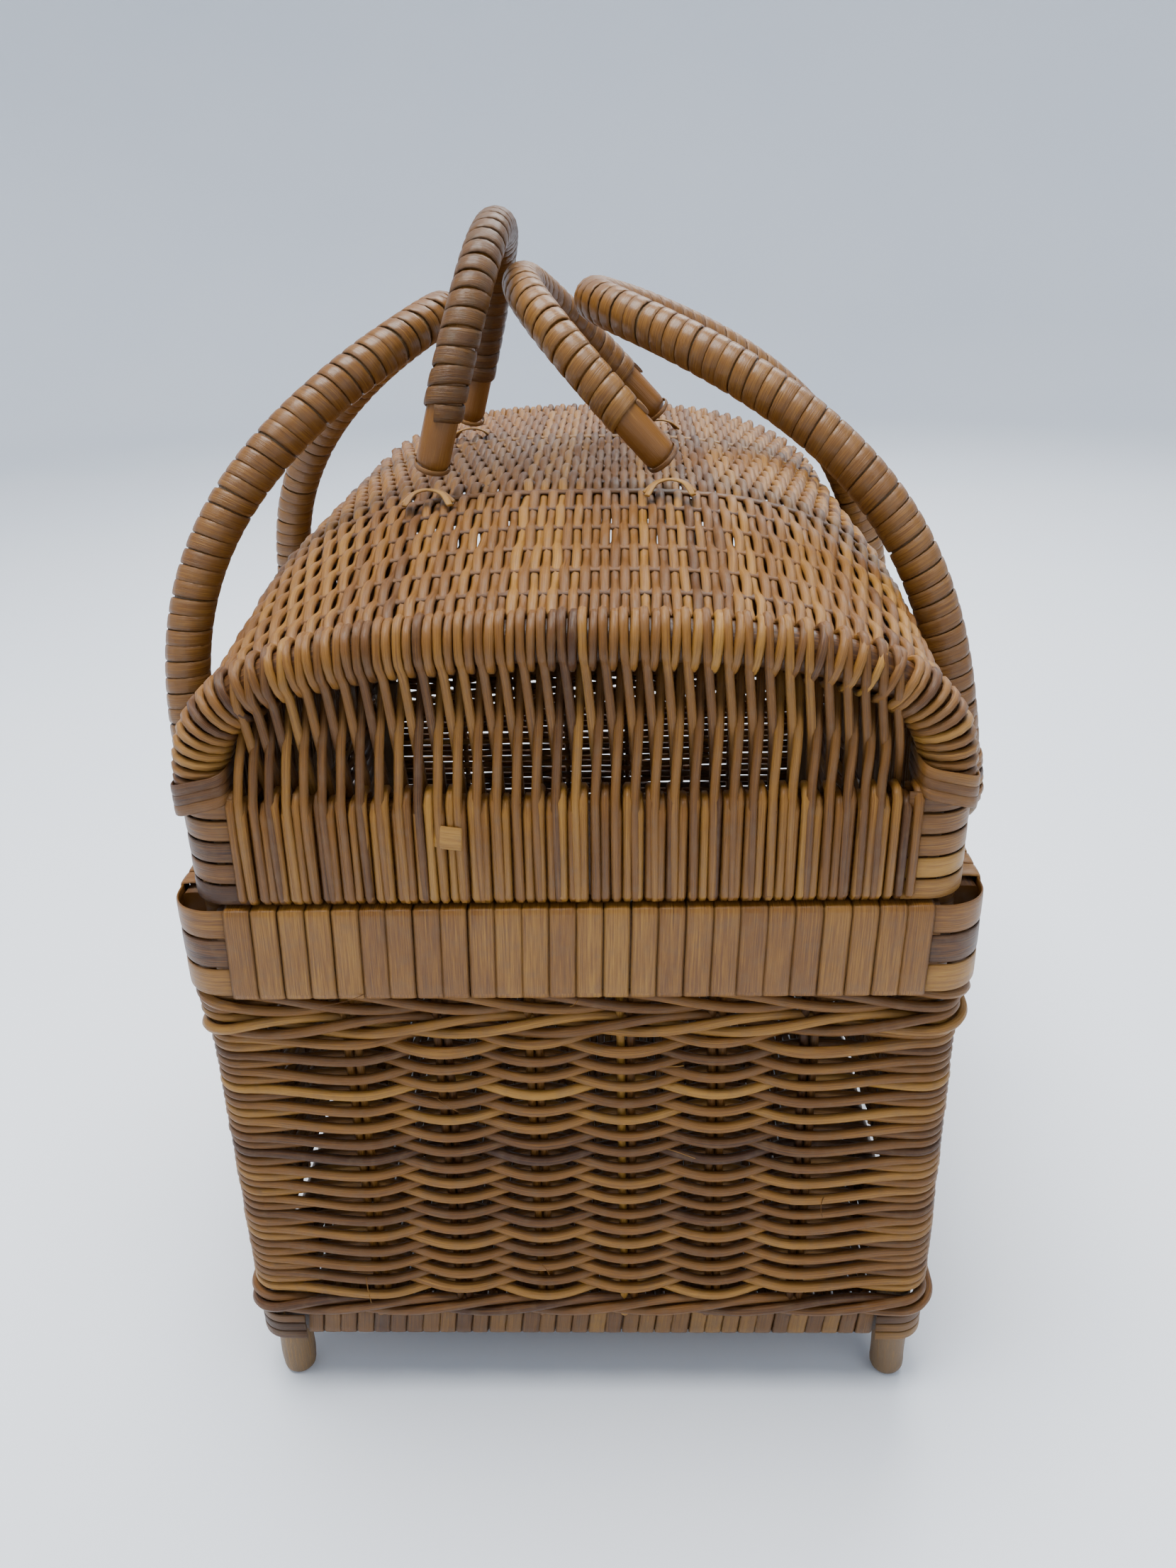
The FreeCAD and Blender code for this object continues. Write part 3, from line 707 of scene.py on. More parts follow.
def make_wall_weave(sizes):
    """Rows of reed that pass in front of one pair of stakes and behind the next.

    A row is the rounded outline of the walls pushed out or in by a cosine ease between stakes,
    with the opposite sign in the next row, and a slow random sway.
    """
    rng = np.random.default_rng(sizes.seed + 4)
    steps = 560
    line, normal, places, total = outline(WALL_X - WEAVE_INSET, WALL_Y - WEAVE_INSET, POST_X, POST_Y, steps)
    knots, signs, around = weave_knots(sizes.stake_pitch)
    knots = np.concatenate([knots * total / around, [total]])
    signs = np.concatenate([signs, [0.0]])
    index = np.clip(np.searchsorted(knots, places, "right") - 1, 0, len(knots) - 2)
    f = (places - knots[index]) / (knots[index + 1] - knots[index])
    ease = (1 - np.cos(np.pi * f)) / 2
    push = signs[index] + (signs[index + 1] - signs[index]) * ease
    bottom = span("lower_wale", 2)[1] + sizes.reed_radius
    top = span("upper_wale", 2)[0] - 0.5 * sizes.reed_radius
    rows = sizes.row_count
    heights = np.linspace(bottom, top, rows)
    amplitude = 1.5 * MM + sizes.reed_radius * 0.92
    out = by_turns(rows)[:, None] * push[None] * amplitude + wander(rng, rows, steps, 0.12 * MM, 9)
    droop = 1.15 * MM * (out / amplitude)
    z = heights[:, None] - droop + wander(rng, rows, steps, 0.28 * MM, 9)
    paths = line[None] + normal[None] * out[..., None]
    paths[..., 2] += z
    thinning = (1 + rng.normal(0, 0.05, rows))[:, None]
    radius = sizes.reed_radius * thinning * (1 + wander(rng, rows, steps, 0.03, 9))
    tone = tones(rng, rows, 0.5, 0.17)
    for label, chosen, end, side in (
            ("lower", slice(0, rows // 2), "front", "left"),
            ("upper", slice(rows // 2, rows), "back", "right")):
        rods = sweep(paths[chosen], radius[chosen], radius[chosen], UP, sides=8, closed=True)
        stood_for = [f"wall_{end}", f"wall_{side}", f"corner_weave_front_{side}", f"corner_weave_back_{side}"]
        piece(f"wall_weave_{label}", "basket", [(rods, tone[chosen])], MATERIALS["reed"], stood_for)


def make_stakes(sizes):
    """Pairs of upright rods that the walls are woven on."""
    rng = np.random.default_rng(sizes.seed + 5)
    radius = 1.5 * MM
    gap = 3.4 * MM
    steps = 30
    for label, axis, _, run, _ in four_sides(WALL_X, WALL_Y):
        node = f"stakes_{label}"
        middles = stake_offsets(run, sizes.stake_pitch)
        places = (middles[:, None] + np.array([-gap / 2, gap / 2])).reshape(-1)
        count = len(places)
        line = np.zeros((count, steps, 3))
        line[..., axis] = places[:, None] + wander(rng, count, steps, 0.2 * MM)
        line[..., 1 - axis] = sum(span(node, 1 - axis)) / 2
        line[..., 2] = np.linspace(WALL_BOTTOM, RIM_BOTTOM + 1 * MM, steps)
        rods = sweep(line, radius, radius, ACROSS, 8)
        piece(f"stake_rods_{label}", "basket", [(rods, tones(rng, count, 0.35))],
              MATERIALS["reed"], [node])


def twisted_border(rng, z, rod, turn_radius, pitch, handed, strands=3):
    """Rods twisted round each other along the walls: each turns about the border's middle line."""
    steps = 900
    line, normal, places, total = outline(WALL_X - 1.2 * MM, WALL_Y - 1.2 * MM, POST_X, POST_Y, steps)
    turns = round(total / pitch)
    phase = handed * 2 * np.pi * turns * places / total
    shift = np.arange(strands)[:, None] * 2 * np.pi / strands
    out = np.cos(phase[None] + shift) * turn_radius * 0.8
    rise = np.sin(phase[None] + shift) * turn_radius * 1.25
    paths = line[None] + normal[None] * out[..., None]
    paths[..., 2] = z + rise + wander(rng, strands, steps, 0.15 * MM, 7)
    return sweep(paths, rod, rod, UP, sides=8, closed=True)


def make_wales(sizes):
    """The twisted borders that close the weave below and above."""
    rng = np.random.default_rng(sizes.seed + 6)
    rod = 1.8 * MM
    pitch = 93 * MM
    low, high = span("upper_wale", 2)
    quarter = (high - low) / 4
    for label, turn_radius, levels in (
            ("lower", 2.3 * MM, ((sum(span("lower_wale", 2)) / 2, 1),)),
            ("upper", 2.5 * MM, ((low + quarter, 1), (high - quarter, -1)))):
        parts = []
        for level, handed in levels:
            strands = twisted_border(rng, level, rod, turn_radius, pitch, handed)
            parts.append((strands, tones(rng, 3, 0.5, 0.25)))
        piece(f"{label}_border", "basket", parts, MATERIALS["reed"], [f"{label}_wale"])


def band_loops(places, axis, sign, outer, thick, bottom, top, half_thick, slope, rng, steps=5):
    """Loops round an upright band, each a smooth path through the corners of its rounded section.

    The section runs up the outer face, over the top, down the inner face and back underneath.
    """
    rounding = 1.4 * MM
    middle = (bottom + top) / 2
    face, back = outer + half_thick, outer - thick - half_thick
    section = np.array([
        (face, bottom + rounding), (face, middle), (face, top - rounding),
        (outer - rounding, top + half_thick), (outer - thick + rounding, top + half_thick),
        (back, top - rounding), (back, middle), (back, bottom + rounding),
        (outer - thick + rounding, bottom - half_thick), (outer - rounding, bottom - half_thick)])
    lean = np.array([-0.5, 0, 0.5, 0.5, 0.5, 0.5, 0, -0.5, -0.5, -0.5]) * slope
    controls = np.zeros((len(places), len(section), 3))
    jitter = rng.normal(0, 0.12 * MM, (len(places), 1))
    controls[..., axis] = places[:, None] + lean[None] + jitter
    controls[..., 1 - axis] = sign * section[None, :, 0]
    controls[..., 2] = section[None, :, 1]
    centre = np.zeros(3)
    centre[1 - axis] = sign * (outer - thick / 2)
    centre[2] = middle
    path = smooth_path(controls, steps, True)
    hint = path - centre
    hint[..., axis] = 0
    hint[..., 2] *= thick / (top - bottom)
    if sign * (1 if axis == 0 else -1) > 0:
        path = path[:, ::-1]
        hint = hint[:, ::-1]
    return path, hint


def make_rim(sizes):
    """Flat cane wound upright round the rim, with wide flat strips round its corners inside and out."""
    rng = np.random.default_rng(sizes.seed + 8)
    half = sizes.cane_thickness / 2
    thick = RIM_X - RIM_INNER
    for label, axis, sign, run, outer in four_sides(RIM_X, RIM_Y):
        count = round(2 * (run - 4 * MM) / sizes.rim_wrap_pitch)
        path, hint = band_loops(
            spaced(count, sizes.rim_wrap_pitch), axis, sign, outer, thick, RIM_BOTTOM, RIM_TOP - 1.0 * MM,
            half + 0.1 * MM, 0.8 * MM, rng, 3)
        width = sizes.rim_wrap_pitch * 0.5 * (1 + rng.normal(0, 0.02, count))
        strips = sweep(path, width, half, hint, sides=8, power=3.2, closed=True)
        bar = core_bar(
            axis, sign, run - 1 * MM, outer - thick / 2, (RIM_BOTTOM + RIM_TOP) / 2 - 0.5 * MM,
            thick / 2 - 0.4 * MM, (RIM_TOP - RIM_BOTTOM) / 2 - 1.6 * MM, 6)
        piece(f"rim_wound_{label}", "basket", [(strips, tones(rng, count, 0.56, 0.06)), (bar, 0.2)],
              MATERIALS["cane"], [f"rim_{label}"])
    pitch = (RIM_TOP - RIM_BOTTOM) / 3
    strips = []
    for level, tone in ((0, 0.6), (1, 0.22), (2, 0.5)):
        z = RIM_BOTTOM + (level + 0.5) * pitch
        # the inner strips take 0.8 of the outer strip's tone: painted shade inside the rim
        for inset, shade in ((0.0, tone), (thick - 1.2 * MM, tone * 0.8)):
            strip = corner_strips(
                RIM_X - inset - half, RIM_Y - inset - half, POST_X, POST_Y, z, pitch * 0.47, half, 7 * MM)
            strips.append((strip, np.clip(shade + rng.normal(0, 0.08, 4), 0, 1)))
    piece("rim_corner_cane", "basket", strips, MATERIALS["cane"], ["rim_corner_strips"])


# ---------------------------------------------------------------- handles

def handle_line(pivot, half_span, reach, rise, bend, degrees, count=260):
    """Centre line of a bail handle: a superellipse along Y whose height also pulls it over the lid."""
    across, up = arch_shape(np.linspace(np.pi, 0, count), HANDLE_POWER)
    x = reach * up ** bend
    z = rise * up
    lean = math.radians(degrees)
    line = np.stack([
        pivot[0] + x * math.cos(lean) - z * math.sin(lean), across * half_span,
        pivot[2] + x * math.sin(lean) + z * math.cos(lean)], 1)
    return even(line, count)[0]


def cut_line(line, bare):
    """A handle's line without a length at each end."""
    along = distances(line)
    return line[(along >= bare) & (along <= along[-1] - bare)]


def wound_pole(rng, line, pole, wrap, bare, pitch, tone, hint):
    """A pole with rounded ends and flat cane wound round all but its bare ends."""
    steps = len(line)
    f = np.linspace(0, 1, steps)
    length = even(line, 2)[1]
    from_end = np.minimum(f, 1 - f) * length
    cap = np.sqrt(np.clip(1 - (1 - np.minimum(from_end / pole, 1)) ** 2, 0.02, 1))
    rod = sweep(line[None], (pole * cap)[None], (pole * cap)[None], hint, sides=18)
    path, radial = helix(cut_line(line, bare), hint, (pole + wrap) / 2, pitch, 16, rng.uniform())
    half = (wrap - pole) / 2
    width = pitch * (0.5 + 0.02 * wander(rng, 1, path.shape[1], 1.0, 12))
    path += frames(path, radial)[1] * (0.35 * MM * wander(rng, 1, path.shape[1], 1.0, 30))[..., None]
    strip = sweep(path, width, half, radial, sides=10, power=3.0)
    return [(rod, 0.4)], [(strip, tone)]


def ring_bundle(line, places, hint, radius, half_wide, half_thick, slope, steps=18):
    """Flat rings round a pole at distances along its line."""
    index = np.searchsorted(distances(line), places)
    tangents = unit(np.gradient(line, axis=0))[index]
    loops, radial = rings_round(line[index], tangents, hint, radius, slope, steps)
    return sweep(loops, half_wide, half_thick, radial, sides=8, power=2.6, closed=True)


def make_outer_handles(sizes):
    """The two long handles, wound from foot to foot, and the lashings at their feet."""
    rng = np.random.default_rng(sizes.seed + 9)
    hint = np.array([1.0, 0.05, 0.2])
    # reach over the lid, height and lean in degrees
    shapes = {"left": (98 * MM, 170 * MM, 3.0), "right": (-111 * MM, 194 * MM, 7.0)}
    pole = 6.9 * MM
    wrap = 8.1 * MM
    for side, (reach, rise, degrees) in shapes.items():
        pivot = JOINTS[f"outer_{side}_swing"]["pos_m"]
        line = handle_line(pivot, OUTER_FOOT, reach, rise, 3.5, degrees)
        rod, strip = wound_pole(rng, line, pole, wrap, 5 * MM, sizes.handle_pitch, 0.52, hint)
        body = f"outer_{side}"
        piece(f"outer_pole_{side}", body, rod, MATERIALS["pole"], [f"outer_handle_{side}"])
        piece(f"outer_cane_{side}", body, strip, MATERIALS["handle"], [f"outer_wrap_{side}"])
        length = even(line, 2)[1]
        near = np.array([12, 15.2, 18.4, 21.6, 24.8]) * MM
        places = np.concatenate([near, length - near])
        rings = ring_bundle(line, places, hint, wrap + 0.35 * MM, 1.5 * MM, 0.5 * MM, 0.9 * MM)
        piece(f"outer_lashing_cane_{side}", body, [(rings, tones(rng, 10, 0.55, 0.2))],
              MATERIALS["cane"], [f"outer_lashing_{side}"])


def make_straps(sizes):
    """Cane straps over the rim beside each outer handle's foot, with a crossed tie between them."""
    rng = np.random.default_rng(sizes.seed + 10)
    thick = RIM_X - RIM_INNER
    for side, sign_x in SIDES:
        places = np.array([foot * OUTER_FOOT + beside for foot in (-1, 1) for beside in (-13 * MM, 13 * MM)])
        path, hint = band_loops(
            places, 1, sign_x, RIM_X + 1.1 * MM, thick + 2.2 * MM, RIM_BOTTOM - 0.3 * MM, RIM_TOP + 0.2 * MM,
            0.5 * MM, 0.6 * MM, rng)
        straps = sweep(path, 2.6 * MM, 0.5 * MM, hint, sides=8, power=3, closed=True)
        ties = []
        for foot in (-1, 1):
            for slant in (-1, 1):
                climb = np.array([6, 5, 4.6, 5, 6]) + slant * np.array([-3, -1.5, 0, 1.5, 3])
                ties.append(np.stack([
                    sign_x * (RIM_X + np.array([1.0, 1.6, 1.9, 1.6, 1.0]) * MM),
                    foot * OUTER_FOOT + slant * np.array([-12, -6, 0, 6, 12]) * MM,
                    RIM_BOTTOM + climb * MM], 1))
        lines = smooth_path(np.array(ties), 6, False)
        cross = sweep(lines, 1.6 * MM, 0.4 * MM, sign_x * ACROSS, sides=8, power=3)
        parts = [(straps, tones(rng, 4, 0.5, 0.15)), (cross, tones(rng, 4, 0.6, 0.1))]
        piece(f"strap_cane_{side}", "basket", parts, MATERIALS["cane"], [f"handle_straps_{side}"])


def make_hinge(sizes):
    """Cane loops that tie the lid's band to the rim; each half stays with its band as the lid turns."""
    rng = np.random.default_rng(sizes.seed + 11)
    hinge = JOINTS["lid_hinge"]["pos_m"]
    pitch = 62 * MM
    cord = 0.4 * MM
    f = np.linspace(0, 1, 60)
    twist = []
    for index in (-1, 0, 1):
        for phase in (0, np.pi):
            turn = f * 2 * np.pi * 3 + phase
            twist.append(np.stack([
                hinge[0] - 1.2 * MM + cord * np.cos(turn), index * pitch + (f - 0.5) * 13 * MM,
                RIM_TOP + 0.2 * MM + cord * np.sin(turn)], 1))
    rods = sweep(np.array(twist), cord, cord, np.array([1.0, 0, 0.3]), sides=8)
    places = (np.arange(-1, 2)[:, None] * pitch + np.array([-4.4, 0, 4.4])[None] * MM).reshape(-1)
    path, hint = band_loops(
        places, 1, -1, RIM_X + 1.0 * MM, RIM_X - RIM_INNER + 2 * MM, RIM_TOP - 14 * MM, RIM_TOP - 0.9 * MM,
        0.4 * MM, 0.6 * MM, rng)
    loops = sweep(path, 1.3 * MM, 0.4 * MM, hint, sides=8, closed=True)
    piece("hinge_cane", "basket", [(rods, 0.6), (loops, tones(rng, 9, 0.55, 0.15))],
          MATERIALS["cane"], ["hinge_ties"])
    path, hint = band_loops(
        places, 1, -1, LID_X + 0.1 * MM, LID_THICK + 2 * MM, LID_BOTTOM + 0.9 * MM, LID_BOTTOM + 13 * MM,
        0.35 * MM, 0.6 * MM, rng)
    loops = sweep(path, 1.3 * MM, 0.35 * MM, hint, sides=8, closed=True)
    piece("hinge_cane_lid", "lid", [(loops, tones(rng, 9, 0.55, 0.15))], MATERIALS["cane"])


# ---------------------------------------------------------------- lid

def make_lid_band(sizes):
    """Round reed wound upright round the lid's band, long and short by turns, and flat corner strips."""
    rng = np.random.default_rng(sizes.seed + 12)
    radius = 1.55 * MM
    for label, axis, sign, run, outer in four_sides(LID_X, LID_Y, LID_CORNER_X):
        places = spaced(round(2 * (run - 3 * MM) / sizes.band_wrap_pitch), sizes.band_wrap_pitch)
        parts = []
        for parity, drop in ((0, 0.0), (1, 3.2 * MM)):
            chosen = places[parity::2]
            path, hint = band_loops(
                chosen, axis, sign, outer - 0.6 * MM, LID_THICK - 1.2 * MM, LID_BOTTOM + 1.4 * MM,
                LID_TOP - 1.2 * MM - drop, radius * 0.6, 0.5 * MM, rng, 1)
            girth = radius * (1 + rng.normal(0, 0.05, len(chosen)))
            loops = sweep(path, girth, girth * 0.85, hint, sides=6, closed=True)
            parts.append((loops, tones(rng, len(chosen), 0.5, 0.14)))
        bar = core_bar(
            axis, sign, run - 0.5 * MM, outer - LID_THICK / 2, (LID_BOTTOM + LID_TOP) / 2 - 0.8 * MM,
            LID_THICK / 2 - 1.2 * MM, (LID_TOP - LID_BOTTOM) / 2 - 2.4 * MM, 6)
        parts.append((bar, 0.15))
        piece(f"lid_band_wound_{label}", "lid", parts, MATERIALS["strand"], [f"lid_band_{label}"])
    half = sizes.cane_thickness / 2
    end = smooth_path(np.array([[
        (-44 * MM, -LID_Y + 1.0 * MM, LID_TOP - 12.5 * MM), (-41 * MM, -LID_Y - 1.6 * MM, LID_TOP - 13 * MM),
        (-34 * MM, -LID_Y - 2.6 * MM, LID_TOP - 13.6 * MM)]]), 6, False)
    cut = sweep(end, 4.0 * MM, 0.35 * MM, -ALONG, sides=10, power=5)
    piece("cut_cane_end", "lid", [(cut, 0.8)], MATERIALS["cane"])
    levels = 5
    pitch = (LID_TOP - LID_BOTTOM) / levels
    strips = []
    for level in range(levels):
        z = LID_BOTTOM + (level + 0.5) * pitch
        for inset in (0.0, LID_THICK - 1.4 * MM):
            strip = corner_strips(
                LID_X - inset - half, LID_Y - inset - half, LID_CORNER_X, POST_Y, z, pitch * 0.46, half,
                8 * MM)
            strips.append((strip, np.clip(0.45 + rng.normal(0, 0.17, 4), 0, 1)))
    piece("lid_corner_cane", "lid", strips, MATERIALS["cane"], ["lid_band_corner_strips"])


def strand_angles(sizes):
    """The angle round the arch of every strand on the lid."""
    return even_angles(sizes.strand_count, WEAVE_HALF - 2 * MM, CREST - LID_TOP)


def hoop_line(label, angle):
    """The middle line of an end hoop at the given angles."""
    sign = -1 if label == "near" else 1
    return arch(angle, HOOP_HALF, LID_TOP + 0.3 * MM, HOOP_TOPS[label], sign * HOOP_Y)


def lashing_loops(points, sign, reed, pitch):
    """Figures of eight between hoop and band: each strand drops from the front of the hoop, crosses to
    the back of the band, rises again at the front of the band and crosses to the back of the hoop.

    The sideways drift of one pitch in each turn sets the hidden half of a strand behind its neighbour.
    """
    core = HOOP_CORE
    front = LID_Y + 0.2 * MM
    back = LID_Y - LID_THICK - 0.2 * MM
    hoop_z = points[:, 2]
    gap_z = (hoop_z - core + LID_TOP) / 2
    mid = LID_Y - LID_THICK / 2
    # each point: sideways drift in pitches, distance out along the basket, height
    turn = (
        (0.50, mid, LID_BOTTOM + 0.4 * MM), (0.50, front - 0.6 * MM, LID_BOTTOM + 2 * MM),
        (0.50, front + 0.3 * MM, LID_BOTTOM + 8 * MM), (0.50, front + 0.3 * MM, LID_TOP - 6 * MM),
        (0.55, front - 1.5 * MM, LID_TOP + 3 * MM), (0.72, mid + 0.5 * MM, gap_z),
        (0.95, HOOP_Y - core - reed, hoop_z - 1 * MM), (1.0, HOOP_Y - core * 0.6, hoop_z + core + reed * 0.7),
        (1.0, HOOP_Y + core * 0.6, hoop_z + core + reed * 0.7), (1.02, HOOP_Y + core + reed, hoop_z - 1 * MM),
        (1.12, HOOP_Y + core * 0.8, hoop_z - core - 1 * MM), (1.35, mid - 0.5 * MM, gap_z),
        (1.5, back, LID_TOP - 3 * MM), (1.5, back, LID_BOTTOM + 5 * MM), (1.5, mid, LID_BOTTOM + 0.4 * MM))
    shape = np.zeros((len(points), len(turn), 3))
    for index, (drift, y, z) in enumerate(turn):
        shape[:, index, 0] = points[:, 0] + (drift - 1) * pitch
        shape[:, index, 1] = sign * y
        shape[:, index, 2] = z
    return smooth_path(shape, 4, False)


def make_hoops(sizes):
    """The end hoops: a core rod, reed rings, and the lashing that ties each hoop to the band."""
    rng = np.random.default_rng(sizes.seed + 13)
    reed = 1.5 * MM
    angles = strand_angles(sizes)
    inside = np.abs(arch_shape(angles)[0]) * HOOP_HALF < HOOP_SHOULDER
    for label, sign in (("near", -1), ("far", 1)):
        line = even(hoop_line(label, np.linspace(np.pi, 0, 400)), 160)[0]
        rod = sweep(line[None], HOOP_CORE, HOOP_CORE, ALONG, sides=16)
        middle = hoop_line(label, angles[inside])
        shoulder = line[np.abs(line[:, 0]) > HOOP_SHOULDER]
        left, right = (
            even(part, int(even(part, 2)[1] / (3.1 * MM)))[0]
            for part in (shoulder[shoulder[:, 0] < 0], shoulder[shoulder[:, 0] > 0]))
        points = np.concatenate([left, middle, right])
        nearest = np.abs(points[:, None] - line[None]).sum(-1).argmin(1)
        tangents = unit(np.gradient(line, axis=0))[nearest]
        short = np.ones(len(points), bool)
        short[len(left):len(left) + len(middle):2] = False
        short_count, long_count = int(short.sum()), int((~short).sum())

        rings, radial = rings_round(points[short], tangents[short], ALONG, HOOP_CORE + reed, 0.5 * MM, 14)
        girth = reed * (1 + rng.normal(0, 0.06, short_count))
        wraps = sweep(rings, girth * 1.05, girth, radial, sides=6, closed=True)
        piece(f"{label}_hoop_reed", "lid", [(rod, 0.1), (wraps, tones(rng, short_count, 0.5, 0.14))],
              MATERIALS["strand"], [f"{label}_hoop"])

        strands = sweep(lashing_loops(points[~short], sign, reed, 6.6 * MM), reed, reed, ACROSS, sides=7)
        piece(f"{label}_lashing_reed", "lid", [(strands, tones(rng, long_count, 0.47, 0.14))],
              MATERIALS["strand"], [f"{label}_lashing"])

        strips = hoop_foot_strips(line, sign)
        piece(f"{label}_foot_cane", "lid", [(strips, tones(rng, 6, 0.35, 0.12))], MATERIALS["cane"])


def hoop_foot_strips(line, sign):
    """Three flat strips round each foot of an end hoop, from inside the band round its corner."""
    feet = []
    for side, (x, y, _) in ((-1, line[0]), (1, line[-1])):
        for turn in range(3):
            z = LID_TOP - 5.0 * MM + turn * 3.4 * MM
            feet.append(np.array([
                (x - side * 9.5 * MM, y - sign * 6 * MM, z + 6.5 * MM),
                (x - side * 8.5 * MM, y + sign * 9.6 * MM, z + 5 * MM),
                (x + side * 1.0 * MM, y + sign * 10.6 * MM, z + 2.5 * MM),
                (x + side * 8.0 * MM, y + sign * 6.8 * MM, z),
                (x + side * 9.9 * MM, y - sign * 2 * MM, z - 1 * MM),
                (x + side * 9.2 * MM, y - sign * 9 * MM, z - 1 * MM)]))
    path = smooth_path(np.array(feet), 7, False)
    hint = path - np.repeat([line[0], line[-1]], 3, axis=0)[:, None]
    hint[..., 2] = 0
    return sweep(path, 1.9 * MM, 0.45 * MM, hint, sides=8, power=3)


def make_inner_hoops(sizes):
    """Two plain rods bent under the woven top, below the creases."""
    rng = np.random.default_rng(sizes.seed + 14)
    for label in ("near", "far"):
        node = f"inner_hoop_{label}"
        low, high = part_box(node)
        radius = (high.y - low.y) / 2
        line = arch(np.linspace(np.pi, 0, 100), high.x - radius, LID_TOP + 0.3 * MM, high.z - radius,
                    (low.y + high.y) / 2)
        rod = sweep(even(line, 100)[0][None], radius, radius, ALONG, sides=12)
        piece(f"inner_rod_{label}", "lid", [(rod, tones(rng, 1, 0.4, 0.1))],
              MATERIALS["pole"], [node])


def make_lid_weave(sizes):
    """Strands from hoop to hoop that pass over and under the rods across the lid.

    A strand lies on the arch at its own angle; its height above the surface is a cosine of its
    distance from a cross rod, with the opposite sign for its neighbour.
    """
    rng = np.random.default_rng(sizes.seed + 15)
    angles = strand_angles(sizes)
    count = len(angles)
    steps = 128
    end = HOOP_Y - 4 * MM
    y = np.linspace(-end, end, steps)
    half = WEAVE_HALF - 2 * MM
    across, up = (part[:, None] * np.ones(steps) for part in arch_shape(angles))
    surface = np.stack([
        half * across + wander(rng, count, steps, 0.25 * MM, 6),
        np.broadcast_to(y[None], (count, steps)),
        LID_TOP + up * (lid_top(y)[None] - LID_TOP)], axis=-1)
    normal = unit(np.cross(np.gradient(surface, axis=1), np.gradient(surface, axis=0)))
    outward = np.stack([across, np.zeros((count, steps)), up], -1)
    normal *= np.sign((normal * outward).sum(-1, keepdims=True))
    rows = round(2 * end / sizes.cross_pitch)
    pitch = 2 * end / rows
    depth = 1.25 * MM
    to_end = end - np.abs(y)
    wave = signed_power(np.cos(np.pi * (y / pitch + 0.5))[None] * by_turns(count)[:, None], 0.8)
    # the wave dies out at the hoops, and the strands are drawn down at the creases and the hoops
    fade = np.clip(to_end / (7 * MM), 0, 1)[None]
    tuck = np.exp(-((np.abs(y)[None] - CREASE) / (3.2 * MM)) ** 2) * 1.0 * MM
    dip = np.clip(1 - to_end / (9 * MM), 0, 1)[None] ** 2 * 2.2 * MM
    lift = wave * depth * fade - tuck - dip
    paths = surface + normal * lift[..., None]
    girth = sizes.strand_radius * (1 + rng.normal(0, 0.05, count))
    strands = sweep(paths, girth, girth * 0.88, normal, sides=7)
    piece("lid_strands", "lid", [(strands, tones(rng, count, 0.5, 0.13))],
          MATERIALS["strand"], ["lid_weave"])
    row_y = (np.arange(rows - 1) + 1) * pitch - end
    across, up = (part * np.ones((rows - 1, 1)) for part in arch_shape(np.linspace(np.pi, 0, 190)))
    rods = np.stack([
        (half - 0.2 * MM) * across, np.broadcast_to(row_y[:, None], across.shape),
        LID_TOP + up * (lid_top(row_y)[:, None] - LID_TOP)], axis=-1)
    hint = np.stack([across, np.zeros(across.shape), up], -1)
    cross = sweep(rods, 3.0 * MM, 0.8 * MM, hint, sides=8, power=2.6)
    piece("lid_cross_rods", "lid", [(cross, tones(rng, rows - 1, 0.4, 0.2))], MATERIALS["cane"])


def make_lid_handles(sizes):
    """The two lid handles: bare wooden ends, wound middles, and the thin cane that ties them down."""
    rng = np.random.default_rng(sizes.seed + 16)
    # reach, height, finish and tone of the winding
    shapes = {"left": (22 * MM, 79 * MM, "dark_cane", 0.45), "right": (-53 * MM, 58 * MM, "handle", 0.55)}
    hint = np.array([1.0, 0.05, 0.1])
    pole = 6.0 * MM
    wrap = 7.3 * MM
    for side, (reach, rise, finish, tone) in shapes.items():
        pivot = JOINTS[f"lid_{side}_swing"]["pos_m"]
        line = handle_line(pivot, LID_FOOT, reach, rise, 1, 0, 200)
        rod, strip = wound_pole(rng, line, pole, wrap, 20 * MM, 6.2 * MM, tone, hint)
        body = f"lid_{side}"
        piece(f"lid_pole_{side}", body, rod, MATERIALS["bare"], [f"lid_handle_{side}"])
        piece(f"lid_cane_{side}", body, strip, MATERIALS[finish], [f"lid_handle_wrap_{side}"])
        length = even(line, 2)[1]
        near = 3.0 * MM
        rings = ring_bundle(
            line, np.array([near, length - near]), hint, pole + 0.25 * MM, 0.9 * MM, 0.3 * MM, 1.6 * MM)
        piece(f"lid_tie_cane_{side}", body, [(rings, tones(rng, 2, 0.5, 0.1))], MATERIALS["cane"],
              [f"lid_handle_ties_{side}"])
        knots = []
        for foot in (-1, 1):
            x, y, z = pivot[0], foot * LID_FOOT, pivot[2] - 5.8 * MM
            for slant in (-1, 1):
                knots.append(np.array([
                    (x - slant * 9 * MM, y + foot * 9 * MM, z - 2.0 * MM),
                    (x - slant * 5 * MM, y + foot * 8 * MM, z + 1.2 * MM),
                    (x, y + foot * 8.2 * MM, z + 2.2 * MM),
                    (x + slant * 5 * MM, y + foot * 9.5 * MM, z + 1.0 * MM),
                    (x + slant * 8 * MM, y + foot * 13 * MM, z - 2.4 * MM)]))
        lines = smooth_path(np.array(knots), 8, False)
        ties = sweep(lines, 1.3 * MM, 0.45 * MM, UP, sides=8, power=2.6)
        piece(f"lid_knots_{side}", "lid", [(ties, tones(rng, 4, 0.8, 0.1))], MATERIALS["cane"])


